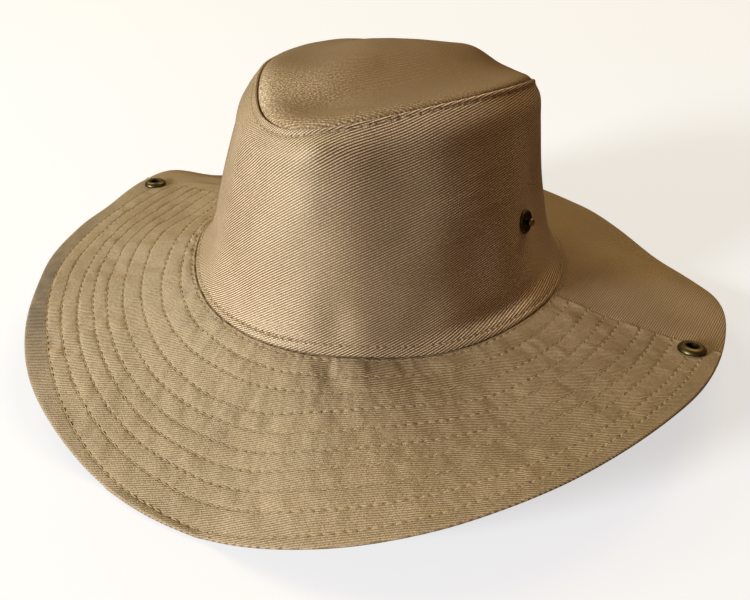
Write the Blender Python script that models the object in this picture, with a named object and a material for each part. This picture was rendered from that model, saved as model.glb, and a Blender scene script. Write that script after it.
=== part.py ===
# A cloth sun hat with a tall crown, a wide brim and snaps that can hold the brim's sides up.
# Units are metres, +Z is up, the front of the hat looks along -Y and the floor is z = 0.
# A turn is measured from the front, through the wearer's left (+X), to the back.
from math import cos, exp, radians, sin, tau

import bmesh
import bpy
import numpy as np
from mathutils import Vector

# Crown
CROWN_LENGTH = 0.2028      # along the brim seam, front to back, outside the cloth
CROWN_WIDTH = 0.1767       # along the brim seam, side to side
CROWN_HEIGHT = 0.0866      # from the brim seam up to the tip seam
CROWN_EGG = 0.067          # how much wider the brim seam is at the back
TIP_LENGTH = 0.1433
TIP_WIDTH = 0.1138
TIP_EGG = 0.36             # how much wider the tip is at the back
TIP_AHEAD = 0.0058         # the tip's centre, ahead of the crown's
TIP_DOME = 0.0120          # the tip's rise over its seam
CROWN_CLOTH = 0.0018
TIP_CLOTH = 0.0018

# Brim
BRIM_WIDTH = 0.0780        # from the seam to the rim, along the cloth
BRIM_CLOTH = 0.0018
BRIM_HEM = 0.0047          # the flat hem along the rim
REST_PRESS = 0.0022        # how far the lowest cloth is pressed flat by the floor
SEAM_BACK = radians(2.4)   # how far behind the hat's sides the brim's two seams lie

# Snaps
SNAP_RADIUS = 0.0063       # the socket ring on the brim
SNAP_METAL = 0.0020        # how far a socket's ring stands up
SNAP_INSET = 0.0120        # the socket's centre, in from the rim
STUD_RADIUS = 0.0060       # the stud's flange on the crown
STUD_METAL = 0.0006        # the flange's thickness in its dish
STUD_LIP = 0.0007          # the flange's raised lip
STUD_NECK = 0.0012         # from the dish up to the ball
STUD_HEIGHT = 0.0361       # the stud's centre, over the brim seam
BALL_RADIUS = 0.0021       # the stud's ball, which the socket's hole takes
BALL_CLEARANCE = 0.0003
POST_RADIUS = 0.0019       # the shank through the cloth
CAP_METAL = 0.0012         # the plain caps behind the cloth

GAP = 0.0003               # left between pieces that touch
SNAP_GAP = 0.0004          # the same, between flat metal and curved cloth

TURN_STEPS = 64
SNAP_STEPS = 20
TIP_RINGS = (0.22, 0.46, 0.68, 0.86, 1.0)
BRIM_ROWS = (0.0, 0.20, 0.40, 0.60, 0.80, 1 - BRIM_HEM / BRIM_WIDTH, 1.0)
HOLE_REACH = 3.0           # how far a shank's hole is cut each way, in cloth thicknesses
PROBE = 0.001              # the step that slopes are measured with


def table(columns, *rows):
    return [dict(zip(columns.split(), row)) for row in rows]


# How the seams and the brim run round the hat, a row for every sixteenth of a turn.
# seam_lift is a share of BRIM_WIDTH, drop is the brim's slope in degrees,
# width is a share of BRIM_WIDTH and tip_lift is a share of CROWN_HEIGHT.
ROUND_ROWS = table(
    "seam_lift drop width tip_lift",
    (0.018, 24.4, 1.00, -0.010),
    (0.008, 14.6, 0.99, 0.011),
    (0.004, 3.0, 0.99, 0.042),
    (-0.002, -1.9, 1.00, 0.066),
    (-0.015, 1.2, 1.00, 0.069),
    (-0.038, 8.8, 1.01, 0.040),
    (-0.062, 19.4, 0.90, -0.030),
    (-0.077, 18.4, 0.96, -0.055),
    (-0.073, 18.0, 1.00, -0.050),
    (-0.046, 20.2, 1.00, -0.030),
    (-0.004, 21.8, 1.00, -0.010),
    (0.039, 17.0, 0.99, 0.005),
    (0.068, 7.0, 0.96, 0.015),
    (0.075, 10.4, 0.97, 0.011),
    (0.062, 11.0, 1.005, -0.001),
    (0.038, 17.2, 1.02, -0.012),
)

# The crown side's section, from the brim seam up: height is a share of the crown's own height,
# reach is the share of the way out from the tip seam to the brim seam, and front_gain is
# added to reach at the front and taken off it at the back.
SIDE_ROWS = table(
    "height reach front_gain",
    (0.00, 1.000, 0.000),
    (0.08, 0.842, 0.024),
    (0.20, 0.689, 0.053),
    (0.40, 0.533, 0.085),
    (0.60, 0.393, 0.095),
    (0.80, 0.250, 0.085),
    (0.93, 0.150, 0.060),
    (1.00, 0.000, 0.000),
)

# Rises and dents of the tip: left and ahead are shares of its half width and half length,
# spread is a share of them too, and rise is a share of TIP_DOME.
TIP_SHAPES = table(
    "left ahead spread rise",
    (-0.35, -0.15, 0.60, 0.75),
    (0.25, -0.58, 0.50, 1.20),
    (0.05, 0.62, 0.30, -0.15),
)


def aroundHat(column, turn):
    # A smooth closed curve through one column of ROUND_ROWS.
    values = [row[column] for row in ROUND_ROWS]
    place = turn / tau * len(values)
    first = int(place // 1)
    t = place - first
    before, here, after, beyond = (values[(first + k) % len(values)] for k in (-1, 0, 1, 2))
    bend = 2 * before - 5 * here + 4 * after - beyond
    twist = 3 * here - before - 3 * after + beyond
    return here + 0.5 * t * ((after - before) + t * (bend + t * twist))


def oval(length, width, egg, ahead, turn):
    x = 0.5 * width * sin(turn) * (1 - egg * cos(turn))
    return Vector((x, -0.5 * length * cos(turn) - ahead, 0.0))


def brimSeam(turn):
    return oval(CROWN_LENGTH, CROWN_WIDTH, CROWN_EGG, 0.0, turn)


def outward(turn):
    # The level direction square to the brim seam.
    step = brimSeam(turn + PROBE) - brimSeam(turn - PROBE)
    return Vector((step.y, -step.x, 0.0)).normalized()


def cellTurns(first, last, count):
    return [first + (last - first) * k / count for k in range(count + 1)]


def brimDepth(turn):
    # How far the rim's underside would hang below the mean brim seam.
    drop = radians(aroundHat("drop", turn))
    fall = BRIM_WIDTH * (aroundHat("width", turn) * sin(drop) - aroundHat("seam_lift", turn))
    return fall + BRIM_CLOTH / cos(drop)


SEAM_RISE = max(brimDepth(turn) for turn in cellTurns(0.0, tau, TURN_STEPS)) - REST_PRESS


def seamHeight(turn):
    return SEAM_RISE + BRIM_WIDTH * aroundHat("seam_lift", turn)


def tipHeight(turn):
    return SEAM_RISE + CROWN_HEIGHT * (1 + aroundHat("tip_lift", turn))


def brimPoint(turn, share):
    # The brim's upper face, from the seam (share 0) to the rim (share 1).
    drop = radians(aroundHat("drop", turn))
    run = BRIM_WIDTH * aroundHat("width", turn) * share
    point = brimSeam(turn) + outward(turn) * (GAP + run * cos(drop))
    point.z = seamHeight(turn) - run * sin(drop)
    return point


def brimColumn(turn, shift):
    # One line of points across the brim, above and below, moved sideways by shift.
    along = Vector((-outward(turn).y, outward(turn).x, 0.0)) * shift
    drop = radians(aroundHat("drop", turn))
    upper, lower = [], []
    for share in BRIM_ROWS:
        top = brimPoint(turn, share) + along
        base = top - Vector((0.0, 0.0, BRIM_CLOTH / cos(drop)))
        base.z = max(base.z, 0.0)
        top.z = max(top.z, base.z + BRIM_CLOTH)
        upper.append(top)
        lower.append(base)
    return upper, lower


def sideReach(turn, height):
    # The section's reach at a share of the crown's height, on a smooth curve through its rows.
    heights = [row["height"] for row in SIDE_ROWS]
    reaches = [row["reach"] + row["front_gain"] * cos(turn) for row in SIDE_ROWS]
    slopes = np.gradient(reaches, heights)
    k = min(max(int(np.searchsorted(heights, height, side="right")) - 1, 0), len(heights) - 2)
    span = heights[k + 1] - heights[k]
    t = (height - heights[k]) / span
    rise = reaches[k] * (1 + 2 * t) * (1 - t) ** 2 + reaches[k + 1] * t * t * (3 - 2 * t)
    return rise + span * (slopes[k] * t * (1 - t) ** 2 - slopes[k + 1] * t * t * (1 - t))


def sidePoint(turn, height):
    # The crown side's outer face, from the brim seam (height 0) to the tip seam (height 1).
    tip = oval(TIP_LENGTH, TIP_WIDTH, TIP_EGG, TIP_AHEAD, turn)
    point = tip.lerp(brimSeam(turn), sideReach(turn, height))
    point.z = seamHeight(turn) + (tipHeight(turn) - seamHeight(turn)) * height
    return point


def surfaceNormal(surface, turn, share):
    # Outward on the crown's side, and downward on the brim.
    across = surface(turn + PROBE, share) - surface(turn - PROBE, share)
    low, high = max(share - PROBE, 0.0), min(share + PROBE, 1.0)
    along = surface(turn, high) - surface(turn, low)
    return across.cross(along).normalized()


def sideColumn(turn):
    # One line of points up the crown's side, outside and inside, with the lip below the seam.
    outer = [sidePoint(turn, 0.0) - Vector((0.0, 0.0, BRIM_CLOTH))]
    inner = [outer[0] - outward(turn) * CROWN_CLOTH]
    for row in SIDE_ROWS:
        face = sidePoint(turn, row["height"])
        outer.append(face)
        normal = surfaceNormal(sidePoint, turn, row["height"])
        inner.append(face - (normal if row["height"] else outward(turn)) * CROWN_CLOTH)
    return outer, inner


def tipRise(left, ahead):
    rise = 0.0
    for shape in TIP_SHAPES:
        away = (left - shape["left"]) ** 2 + (ahead - shape["ahead"]) ** 2
        rise += shape["rise"] * TIP_DOME * exp(-away / shape["spread"] ** 2)
    return rise * (1 - left ** 2 - ahead ** 2)


def tipColumn(turn, centre):
    # Points from near the tip's centre out to its edge, just inside the side panel's edge.
    edge = sideColumn(turn)[1][-1]
    flat = Vector((edge.x - centre.x, edge.y - centre.y, 0.0))
    edge = edge - flat.normalized() * GAP
    upper = []
    for share in TIP_RINGS:
        point = centre.lerp(edge, share)
        point.z = centre.z + (edge.z - centre.z) * share ** 2
        point.z += tipRise(share * sin(turn), share * cos(turn))
        upper.append(point)
    lower = [point - Vector((0.0, 0.0, TIP_CLOTH)) for point in upper]
    return upper, lower


def material(name, colour, roughness, metallic):
    made = bpy.data.materials.new(name)
    made.use_nodes = True
    shader = made.node_tree.nodes["Principled BSDF"]
    shader.inputs["Base Color"].default_value = (*colour, 1.0)
    shader.inputs["Roughness"].default_value = roughness
    shader.inputs["Metallic"].default_value = metallic
    return made


def pieceFrom(name, mesh, look, sharpest=40.0):
    # Finish a bmesh as an object with its faces turned outward and shaded smooth.
    bmesh.ops.triangulate(mesh, faces=mesh.faces[:])
    bmesh.ops.recalc_face_normals(mesh, faces=mesh.faces[:])
    data = bpy.data.meshes.new(name)
    mesh.to_mesh(data)
    mesh.free()
    data.shade_smooth()
    data.set_sharp_from_angle(angle=radians(sharpest))
    data.materials.append(look)
    piece = bpy.data.objects.new(name, data)
    bpy.context.collection.objects.link(piece)
    return piece


def clothSheet(name, columns, look, closed=False, poles=None):
    # Join columns of (upper, lower) points into one closed sheet of cloth.
    # A closed sheet runs right round, and poles are the two points at its centre.
    mesh = bmesh.new()
    upper = [[mesh.verts.new(point) for point in column[0]] for column in columns]
    lower = [[mesh.verts.new(point) for point in column[1]] for column in columns]
    pairs = list(zip(range(len(columns)), range(1, len(columns))))
    if closed:
        pairs.append((len(columns) - 1, 0))
    rows = len(upper[0])
    for a, b in pairs:
        for k in range(rows - 1):
            mesh.faces.new((upper[a][k], upper[b][k], upper[b][k + 1], upper[a][k + 1]))
            mesh.faces.new((lower[a][k], lower[a][k + 1], lower[b][k + 1], lower[b][k]))
        mesh.faces.new((upper[a][-1], upper[b][-1], lower[b][-1], lower[a][-1]))
        if poles is None:
            mesh.faces.new((upper[b][0], upper[a][0], lower[a][0], lower[b][0]))
    if poles is not None:
        top, base = (mesh.verts.new(point) for point in poles)
        for a, b in pairs:
            mesh.faces.new((top, upper[b][0], upper[a][0]))
            mesh.faces.new((base, lower[a][0], lower[b][0]))
    if not closed:
        for a in (0, -1):
            for k in range(rows - 1):
                mesh.faces.new((upper[a][k], upper[a][k + 1], lower[a][k + 1], lower[a][k]))
    return pieceFrom(name, mesh, look)


def turnedPiece(name, profile, place, axis, look):
    # Turn a profile of (radius, height) rows about an axis. It starts and ends on the axis.
    mesh = bmesh.new()
    rings = []
    for radius, height in profile:
        if radius == 0.0:
            rings.append([mesh.verts.new((0.0, 0.0, height))])
            continue
        angles = [tau * k / SNAP_STEPS for k in range(SNAP_STEPS)]
        rings.append([mesh.verts.new((radius * cos(a), radius * sin(a), height)) for a in angles])
    for first, second in zip(rings, rings[1:]):
        for k in range(SNAP_STEPS):
            corners = [first[k % len(first)], first[(k + 1) % len(first)]]
            corners += [second[(k + 1) % len(second)], second[k % len(second)]]
            mesh.faces.new(list(dict.fromkeys(corners)))
    piece = pieceFrom(name, mesh, look)
    piece.rotation_euler = axis.to_track_quat("Z", "Y").to_euler()
    piece.location = place
    return piece


def shankHole(name, piece, place, axis, cloth):
    # Cut a round hole through a piece of cloth for a snap's shank.
    radius = POST_RADIUS + GAP
    reach = HOLE_REACH * cloth
    profile = ((0.0, reach), (radius, reach), (radius, -reach), (0.0, -reach))
    cutter = turnedPiece(name, profile, place, axis, piece.data.materials[0])
    cutter.hide_render = True
    cutter.display_type = "WIRE"
    cut = piece.modifiers.new(name, "BOOLEAN")
    cut.operation = "DIFFERENCE"
    cut.solver = "EXACT"
    cut.object = cutter


def shankAndCap(cloth, capRadius):
    # The hidden end of a snap's profile: its shank through the cloth and a plain domed cap.
    under = -cloth - SNAP_GAP
    return ((POST_RADIUS, SNAP_GAP), (POST_RADIUS, under), (capRadius, under),
            (0.92 * capRadius, under - 0.55 * CAP_METAL),
            (0.60 * capRadius, under - 0.90 * CAP_METAL), (0.0, under - CAP_METAL))


def socketProfile():
    # A domed ring with an open socket on top.
    hole = BALL_RADIUS + BALL_CLEARANCE
    land = 0.5 * (SNAP_RADIUS - hole)
    floor = SNAP_GAP + 0.25 * SNAP_METAL
    return ((0.0, floor), (hole, floor), (hole, 0.85 * SNAP_METAL),
            (hole + 0.2 * land, SNAP_METAL), (hole + land, SNAP_METAL),
            (hole + 1.6 * land, 0.72 * SNAP_METAL), (SNAP_RADIUS, 0.40 * SNAP_METAL),
            (SNAP_RADIUS, SNAP_GAP), *shankAndCap(BRIM_CLOTH, SNAP_RADIUS))


def studProfile():
    # A ball on a neck over a dished flange with a raised lip.
    dish = SNAP_GAP + STUD_METAL
    ball = dish + STUD_NECK + 0.75 * BALL_RADIUS
    neck = 0.72 * BALL_RADIUS
    return ((0.0, ball + 0.90 * BALL_RADIUS), (0.62 * BALL_RADIUS, ball + 0.68 * BALL_RADIUS),
            (BALL_RADIUS, ball), (neck, ball - 0.75 * BALL_RADIUS),
            (neck, dish + 0.5 * STUD_NECK), (1.7 * neck, dish + 0.25 * STUD_NECK),
            (0.72 * STUD_RADIUS, dish), (0.86 * STUD_RADIUS, dish + STUD_LIP),
            (0.97 * STUD_RADIUS, dish + 0.6 * STUD_LIP), (STUD_RADIUS, SNAP_GAP),
            *shankAndCap(CROWN_CLOTH, 0.72 * STUD_RADIUS))


for old in list(bpy.data.objects):
    bpy.data.objects.remove(old, do_unlink=True)

twill = material("twill", (0.34, 0.24, 0.14), 0.85, 0.0)
twillTip = material("twill_tip", (0.34, 0.24, 0.14), 0.85, 0.0)
twillBrim = material("twill_brim", (0.36, 0.26, 0.16), 0.85, 0.0)
twillBack = material("twill_back", (0.34, 0.24, 0.14), 0.85, 0.0)
antiqueBrass = material("antique_brass", (0.20, 0.15, 0.08), 0.35, 1.0)

allTurns = cellTurns(0.0, tau, TURN_STEPS)[:-1]
crownSide = clothSheet("crown_side", [sideColumn(turn) for turn in allTurns], twill, closed=True)

tipEdges = [sideColumn(turn)[1][-1] for turn in allTurns]
tipCentre = sum(tipEdges, Vector()) / len(tipEdges)
tipPole = tipCentre + Vector((0.0, 0.0, tipRise(0.0, 0.0)))
clothSheet("crown_tip", [tipColumn(turn, tipCentre) for turn in allTurns], twillTip, closed=True,
           poles=(tipPole, tipPole - Vector((0.0, 0.0, TIP_CLOTH))))

seamTurn = tau / 4 + SEAM_BACK
frontTurns = cellTurns(-seamTurn, seamTurn, TURN_STEPS // 2)
backTurns = cellTurns(seamTurn, tau - seamTurn, TURN_STEPS // 2)


def brimPanel(name, turns, look):
    # The two ends stop short of the seams by half a gap each.
    shifts = [0.0] * len(turns)
    shifts[0], shifts[-1] = GAP / 2, -GAP / 2
    return clothSheet(name, [brimColumn(*pair) for pair in zip(turns, shifts)], look)


brimFront = brimPanel("brim_front", frontTurns, twillBrim)
brimPanel("brim_back", backTurns, twillBack)

for side, turn in (("left", tau / 4), ("right", -tau / 4)):
    share = 1 - SNAP_INSET / BRIM_WIDTH
    place = brimPoint(turn, share)
    axis = -surfaceNormal(brimPoint, turn, share)
    turnedPiece("snap_socket_" + side, socketProfile(), place, axis, antiqueBrass)
    shankHole("socket_hole_" + side, brimFront, place, axis, BRIM_CLOTH)

    wallHeight = tipHeight(turn) - seamHeight(turn)
    place = sidePoint(turn, STUD_HEIGHT / wallHeight)
    axis = surfaceNormal(sidePoint, turn, STUD_HEIGHT / wallHeight)
    turnedPiece("snap_stud_" + side, studProfile(), place, axis, antiqueBrass)
    shankHole("stud_hole_" + side, crownSide, place, axis, CROWN_CLOTH)

# The origin goes on the floor, under the middle of the rim.
rim = [brimPoint(turn, 1.0) for turn in frontTurns + backTurns]
reachX = [point.x for point in rim]
reachY = [point.y for point in rim]
middle = Vector((min(reachX) + max(reachX), min(reachY) + max(reachY), 0.0)) / 2
for piece in bpy.data.objects:
    piece.location -= middle
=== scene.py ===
from math import atan, cos, radians, sin, tau

import bmesh
import bpy
import numpy as np
from mathutils import Matrix, Vector


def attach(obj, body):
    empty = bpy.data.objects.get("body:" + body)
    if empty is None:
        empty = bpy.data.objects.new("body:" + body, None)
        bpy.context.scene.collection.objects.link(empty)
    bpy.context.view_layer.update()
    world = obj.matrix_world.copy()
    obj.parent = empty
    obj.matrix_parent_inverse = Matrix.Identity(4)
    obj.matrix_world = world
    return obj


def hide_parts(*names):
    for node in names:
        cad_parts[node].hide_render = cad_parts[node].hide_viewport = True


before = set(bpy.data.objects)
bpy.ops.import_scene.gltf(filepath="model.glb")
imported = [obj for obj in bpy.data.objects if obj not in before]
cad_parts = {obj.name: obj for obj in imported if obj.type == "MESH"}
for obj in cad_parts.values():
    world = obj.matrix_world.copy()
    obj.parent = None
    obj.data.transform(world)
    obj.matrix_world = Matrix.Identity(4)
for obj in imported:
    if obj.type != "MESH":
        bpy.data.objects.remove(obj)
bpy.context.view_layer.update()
print("hat: frame loaded with", len(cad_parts), "nodes")

# The hat's sizes, in metres, as the part has them.
hat = {
    "crownLength": 0.2028, "crownWidth": 0.1767, "crownHeight": 0.0866, "crownEgg": 0.067,
    "tipLength": 0.1433, "tipWidth": 0.1138, "tipEgg": 0.36, "tipAhead": 0.0058, "tipDome": 0.0120,
    "brimWidth": 0.0780, "cloth": 0.0018, "restPress": 0.0022, "gap": 0.0003,
    "seamBack": radians(2.4), "backRimDrop": 0.0012, "snapInset": 0.0120, "studHeight": 0.0361,
}

# One value for each sixteenth of a turn, from the front through the wearer's left. The seam's lift and the
# brim's width are shares of the whole brim's width, the drop is in degrees, and the tip's lift is a share of the
# crown's height.
roundHat = {
    "seamLift": (0.018, 0.008, 0.004, -0.002, -0.015, -0.038, -0.062, -0.077,
                 -0.073, -0.046, -0.004, 0.039, 0.068, 0.075, 0.062, 0.038),
    "drop": (24.4, 14.6, 3.0, -1.9, 1.2, 8.8, 19.4, 18.4, 18.0, 20.2, 21.8, 17.0, 7.0, 10.4, 11.0, 17.2),
    "width": (1.00, 0.99, 0.99, 1.00, 1.00, 1.01, 0.90, 0.96,
              1.00, 1.00, 1.00, 0.99, 0.96, 0.97, 1.005, 1.02),
    "tipLift": (-0.010, 0.011, 0.042, 0.066, 0.069, 0.040, -0.030, -0.055,
                -0.050, -0.030, -0.010, 0.005, 0.015, 0.011, -0.001, -0.012),
}

# The crown's slope: height share, how far out it reaches, and what the front adds to that.
crownSlope = np.array([
    (0.00, 1.000, 0.000), (0.08, 0.842, 0.024), (0.20, 0.689, 0.053), (0.40, 0.533, 0.085),
    (0.60, 0.393, 0.095), (0.80, 0.250, 0.085), (0.93, 0.150, 0.060), (1.00, 0.000, 0.000)])

# The tip's rises and dents: left, ahead, spread and rise.
tipShapes = ((-0.35, -0.15, 0.60, 0.75), (0.25, -0.58, 0.50, 1.20), (0.05, 0.62, 0.30, -0.15),
             (0.00, -0.47, 0.22, -0.14), (0.36, -0.64, 0.14, 0.44))

# How the cloth has settled, in millimetres at degrees round the hat: the seam, the rim, the tip's edge and
# the sag between seam and rim.
settled = {
    "seamUp": {-130: -1.0, -120: -2.0, -110: -3.0, -100: -4.0, -90: -4.5, -80: -4.0, -70: -1.5,
        -60: 0.6, -30: 0.6, -20: 0.8, -10: 1.4, 0: 1.7, 10: 1.8, 20: 2.1, 30: 1.8, 40: 0.2, 50: -0.4,
        60: -0.3, 70: -0.2, 80: -0.2, 90: -0.2, 100: -0.2},
    "seamOut": {50: 1.5, 60: 1.9, 70: 1.9, 80: 1.7, 90: 1.6, 100: 1.2, 110: 0.6},
    "rimUp": {-160: -0.3, -150: -0.9, -140: -1.8, -130: -3.0, -120: -4.0, -110: -3.4, -100: 1.5,
        -90: -0.9, -80: -1.8, -70: 1.0, -60: 1.1, -50: 0.6, -40: -0.5, -30: -0.1, -20: 0.5, -10: -0.3,
        0: 0.4, 10: -1.2, 20: -0.3, 30: 0.3, 40: -0.4, 50: -0.7, 60: -0.6, 70: -0.2, 80: -0.2, 100: 0.1,
        110: 1.2, 120: 1.0, 130: 1.5, 140: 2.0, 150: 1.5, 160: 0.8, 170: 0.3},
    "rimOut": {-110: -0.5, -100: 1.3, -90: -0.5, -80: -1.4, -70: 0.8, -60: 1.7, -50: -0.7, -20: -1.1,
        -10: -0.6, 0: 1.0, 10: 0.1, 20: 0.6, 30: 0.9, 40: 0.9, 50: 0.7, 60: 0.2, 80: 0.3, 90: -0.2,
        100: -0.8, 120: 0.6, 130: 1.0, 140: 0.9, 150: 0.3},
    "tipUp": {-50: 0.4, -60: 1.2, -70: 1.3, -80: 0.3, -90: -0.9, -100: -1.2, -110: -1.2, -120: -1.1,
        -130: -0.6, -140: -0.2},
    "sag": {-180: -0.6, -170: -0.6, -160: -0.6, -150: -0.6, -140: -0.6, -130: -0.7, -120: -0.8,
        -110: -0.9, -100: -1.0, -90: -1.0, -80: -1.0, -70: -1.0, -60: -1.5, -50: -2.4, -40: -2.8,
        -30: -2.5, -20: -2.4, -10: -2.3, 0: -2.3, 10: -2.0, 20: -0.9, 30: -0.8, 40: -1.5, 50: -2.2,
        60: -2.4, 70: -2.2, 80: -2.0, 90: -1.8, 100: -1.5, 110: -1.2, 120: -1.0, 130: -0.8, 140: -0.7,
        150: -0.6, 160: -0.6, 170: -0.6},
}


def smoothAlong(values, place, closed):
    # A smooth curve through evenly spaced values.
    values = np.asarray(values, float)
    place = np.asarray(place, float)
    first = np.floor(place).astype(int)
    if not closed:
        first = np.clip(first, 0, len(values) - 2)
    t = place - first
    index = [first + k for k in (-1, 0, 1, 2)]
    a, b, c, d = (values[k % len(values) if closed else np.clip(k, 0, len(values) - 1)] for k in index)
    return b + 0.5 * t * ((c - a) + t * ((2 * a - 5 * b + 4 * c - d) + t * (3 * b - a - 3 * c + d)))


def aroundHat(column, turn):
    values = roundHat[column]
    return smoothAlong(values, np.asarray(turn, float) / tau * len(values), True)


def everyTen(places, turn):
    values = [places.get(degrees, 0.0) / 1000 for degrees in range(-180, 180, 10)]
    return smoothAlong(values, (np.asarray(turn, float) + tau / 2) / tau * 36, True)


def oval(length, width, egg, ahead, turn):
    turn = np.asarray(turn, float)
    return np.stack([0.5 * width * np.sin(turn) * (1 - egg * np.cos(turn)),
                     -0.5 * length * np.cos(turn) - ahead, 0 * turn], -1)


def unit(vectors):
    return vectors / np.maximum(np.linalg.norm(vectors, axis=-1, keepdims=True), 1e-12)


def bell(distance):
    # One in the middle, falling to nothing on both sides.
    return np.exp(-distance ** 2)


def brimSeam(turn):
    return oval(hat["crownLength"], hat["crownWidth"], hat["crownEgg"], 0.0, turn)


def tipOval(turn):
    return oval(hat["tipLength"], hat["tipWidth"], hat["tipEgg"], hat["tipAhead"], turn)


littleTurn = 0.001          # the step in turn that a direction is found with


def outwardAt(turn):
    step = brimSeam(np.asarray(turn) + littleTurn) - brimSeam(np.asarray(turn) - littleTurn)
    return unit(np.stack([step[..., 1], -step[..., 0], 0 * step[..., 0]], -1))


def brimDepth(turn):
    drop = np.radians(aroundHat("drop", turn))
    fall = aroundHat("width", turn) * np.sin(drop) - aroundHat("seamLift", turn)
    return hat["brimWidth"] * fall + hat["cloth"] / np.cos(drop)


seamRise = brimDepth(np.linspace(0, tau, 65)).max() - hat["restPress"]      # as high as its lowest rim asks


def seamHeight(turn):
    return seamRise + hat["brimWidth"] * aroundHat("seamLift", turn)


def tipHeight(turn):
    return seamRise + hat["crownHeight"] * (1 + aroundHat("tipLift", turn))


def brimPlain(turn, run):
    turn, run = np.broadcast_arrays(np.asarray(turn, float), np.asarray(run, float))
    drop = np.radians(aroundHat("drop", turn))
    point = brimSeam(turn) + outwardAt(turn) * (hat["gap"] + run * np.cos(drop))[..., None]
    point[..., 2] = seamHeight(turn) - run * np.sin(drop)
    return point


seamTurn = tau / 4 + hat["seamBack"]
rimTurns = np.concatenate([np.linspace(-seamTurn, seamTurn, 33), np.linspace(seamTurn, tau - seamTurn, 33)])
rim = brimPlain(rimTurns, hat["brimWidth"] * aroundHat("width", rimTurns))
rimMiddle = np.array([(rim[:, 0].min() + rim[:, 0].max()) / 2, (rim[:, 1].min() + rim[:, 1].max()) / 2, 0.0])


def brimReach(turn):
    return hat["brimWidth"] * aroundHat("width", turn) + everyTen(settled["rimOut"], turn)


wavesRule = {"sizes": 3, "each": 5, "smaller": 0.62, "spread": (0.75, 1.3), "level": 4.2}


def waves(points, size, seed):
    # Slow unevenness of soft cloth, the same wherever it is asked for.
    rng = np.random.default_rng(seed)
    total = np.zeros(points.shape[:-1])
    for k in range(wavesRule["sizes"]):
        share = wavesRule["smaller"] ** k
        for _ in range(wavesRule["each"]):
            way = unit(rng.normal(size=3)) * tau / (size * share) * rng.uniform(*wavesRule["spread"])
            total += share * np.sin(points @ way + rng.uniform(0, tau))
    return total / wavesRule["level"]


def angleTo(turn, degrees):
    return (np.degrees(turn) - degrees + 180) % 360 - 180


# Small helpers for objects and meshes.
def addObject(name, data):
    made = bpy.data.objects.new(name, data)
    bpy.context.scene.collection.objects.link(made)
    return made


def finishMesh(mesh):
    # Turns every face outwards and smooths them all.
    work = bmesh.new()
    work.from_mesh(mesh)
    bmesh.ops.recalc_face_normals(work, faces=work.faces[:])
    work.to_mesh(mesh)
    work.free()
    mesh.shade_smooth()


def addMark(mesh, label, values, kind="FLOAT"):
    mark = mesh.attributes.new(label, kind, "POINT")
    mark.data.foreach_set("value" if kind == "FLOAT" else "vector", np.asarray(values, np.float32).ravel())


# Sewn cloth: a sheet with two faces, marks for its stitch rows and maps for its weave.
def sewnSheet(name, upper, lower, maps, marks, closed=False, poles=None):
    count, rows = upper.shape[:2]
    under = lower.shape[1]
    wide = count + 1 if closed else count
    lines = np.arange(wide)
    top = lines[:, None] * rows + np.arange(rows)
    base = wide * rows + lines[:, None] * under + np.arange(under)
    real = np.concatenate([((lines % count)[:, None] * rows + np.arange(rows)).ravel(),
                           (count * rows + (lines % count)[:, None] * under + np.arange(under)).ravel()])
    points = np.concatenate([upper.reshape(-1, 3), lower.reshape(-1, 3)])

    def cells(grid):
        return np.stack([grid[:-1, :-1], grid[1:, :-1], grid[1:, 1:], grid[:-1, 1:]], -1).reshape(-1, 4)

    faces = [cells(top), cells(base)[:, ::-1],
             np.stack([top[:-1, -1], top[1:, -1], base[1:, -1], base[:-1, -1]], -1)]
    if poles is None:
        faces.append(np.stack([top[1:, 0], top[:-1, 0], base[:-1, 0], base[1:, 0]], -1))
    faces = [list(face) for group in faces for face in group.tolist()]
    if not closed:
        faces += [list(top[0]) + list(base[0][::-1]), list(top[-1][::-1]) + list(base[-1])]
    if poles is not None:
        points = np.concatenate([points, np.array(poles)])
        real = np.concatenate([real, [count * (rows + under), count * (rows + under) + 1]])
        first, second = wide * (rows + under), wide * (rows + under) + 1
        faces += [[first, top[k + 1, 0], top[k, 0]] for k in range(wide - 1)]
        faces += [[second, base[k, 0], base[k + 1, 0]] for k in range(wide - 1)]
    mesh = bpy.data.meshes.new(name)
    mesh.from_pydata(points.tolist(), [], [[int(real[k]) for k in face] for face in faces])
    corners = np.array([k for face in faces for k in face])
    for label, values in maps.items():
        layer = mesh.uv_layers.new(name=label)
        flat = np.concatenate([part.reshape(-1, 2) for part in values])
        layer.uv.foreach_set("vector", flat[corners].astype(np.float32).ravel())
    for label, (values, other) in marks.items():
        whole = np.full(len(points), other, np.float32)
        whole[:count * rows] = values.reshape(-1)
        addMark(mesh, label, whole)
    finishMesh(mesh)
    return addObject(name, mesh)


# Small helpers for node trees.
def wire(tree, node, sockets):
    # Links a socket to the node output given for it, or sets it to the value given.
    for place, value in sockets.items():
        if isinstance(value, bpy.types.NodeSocket):
            tree.links.new(value, node.inputs[place])
        else:
            node.inputs[place].default_value = value


def addNode(tree, kind, sockets=None, **settings):
    made = tree.nodes.new(kind)
    for key, value in settings.items():
        setattr(made, key, value)
    wire(tree, made, sockets or {})
    return made


def calc(tree, operation, *values):
    return addNode(tree, "ShaderNodeMath", dict(enumerate(values)), operation=operation).outputs[0]


def times(tree, *values):
    total = values[0]
    for value in values[1:]:
        total = calc(tree, "MULTIPLY", total, value)
    return total


def noise(tree, where, scale, detail, rough=0.5, distort=0.0):
    return addNode(tree, "ShaderNodeTexNoise", {"Vector": where, "Scale": scale, "Detail": detail,
                   "Roughness": rough, "Distortion": distort}).outputs[0]


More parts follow.
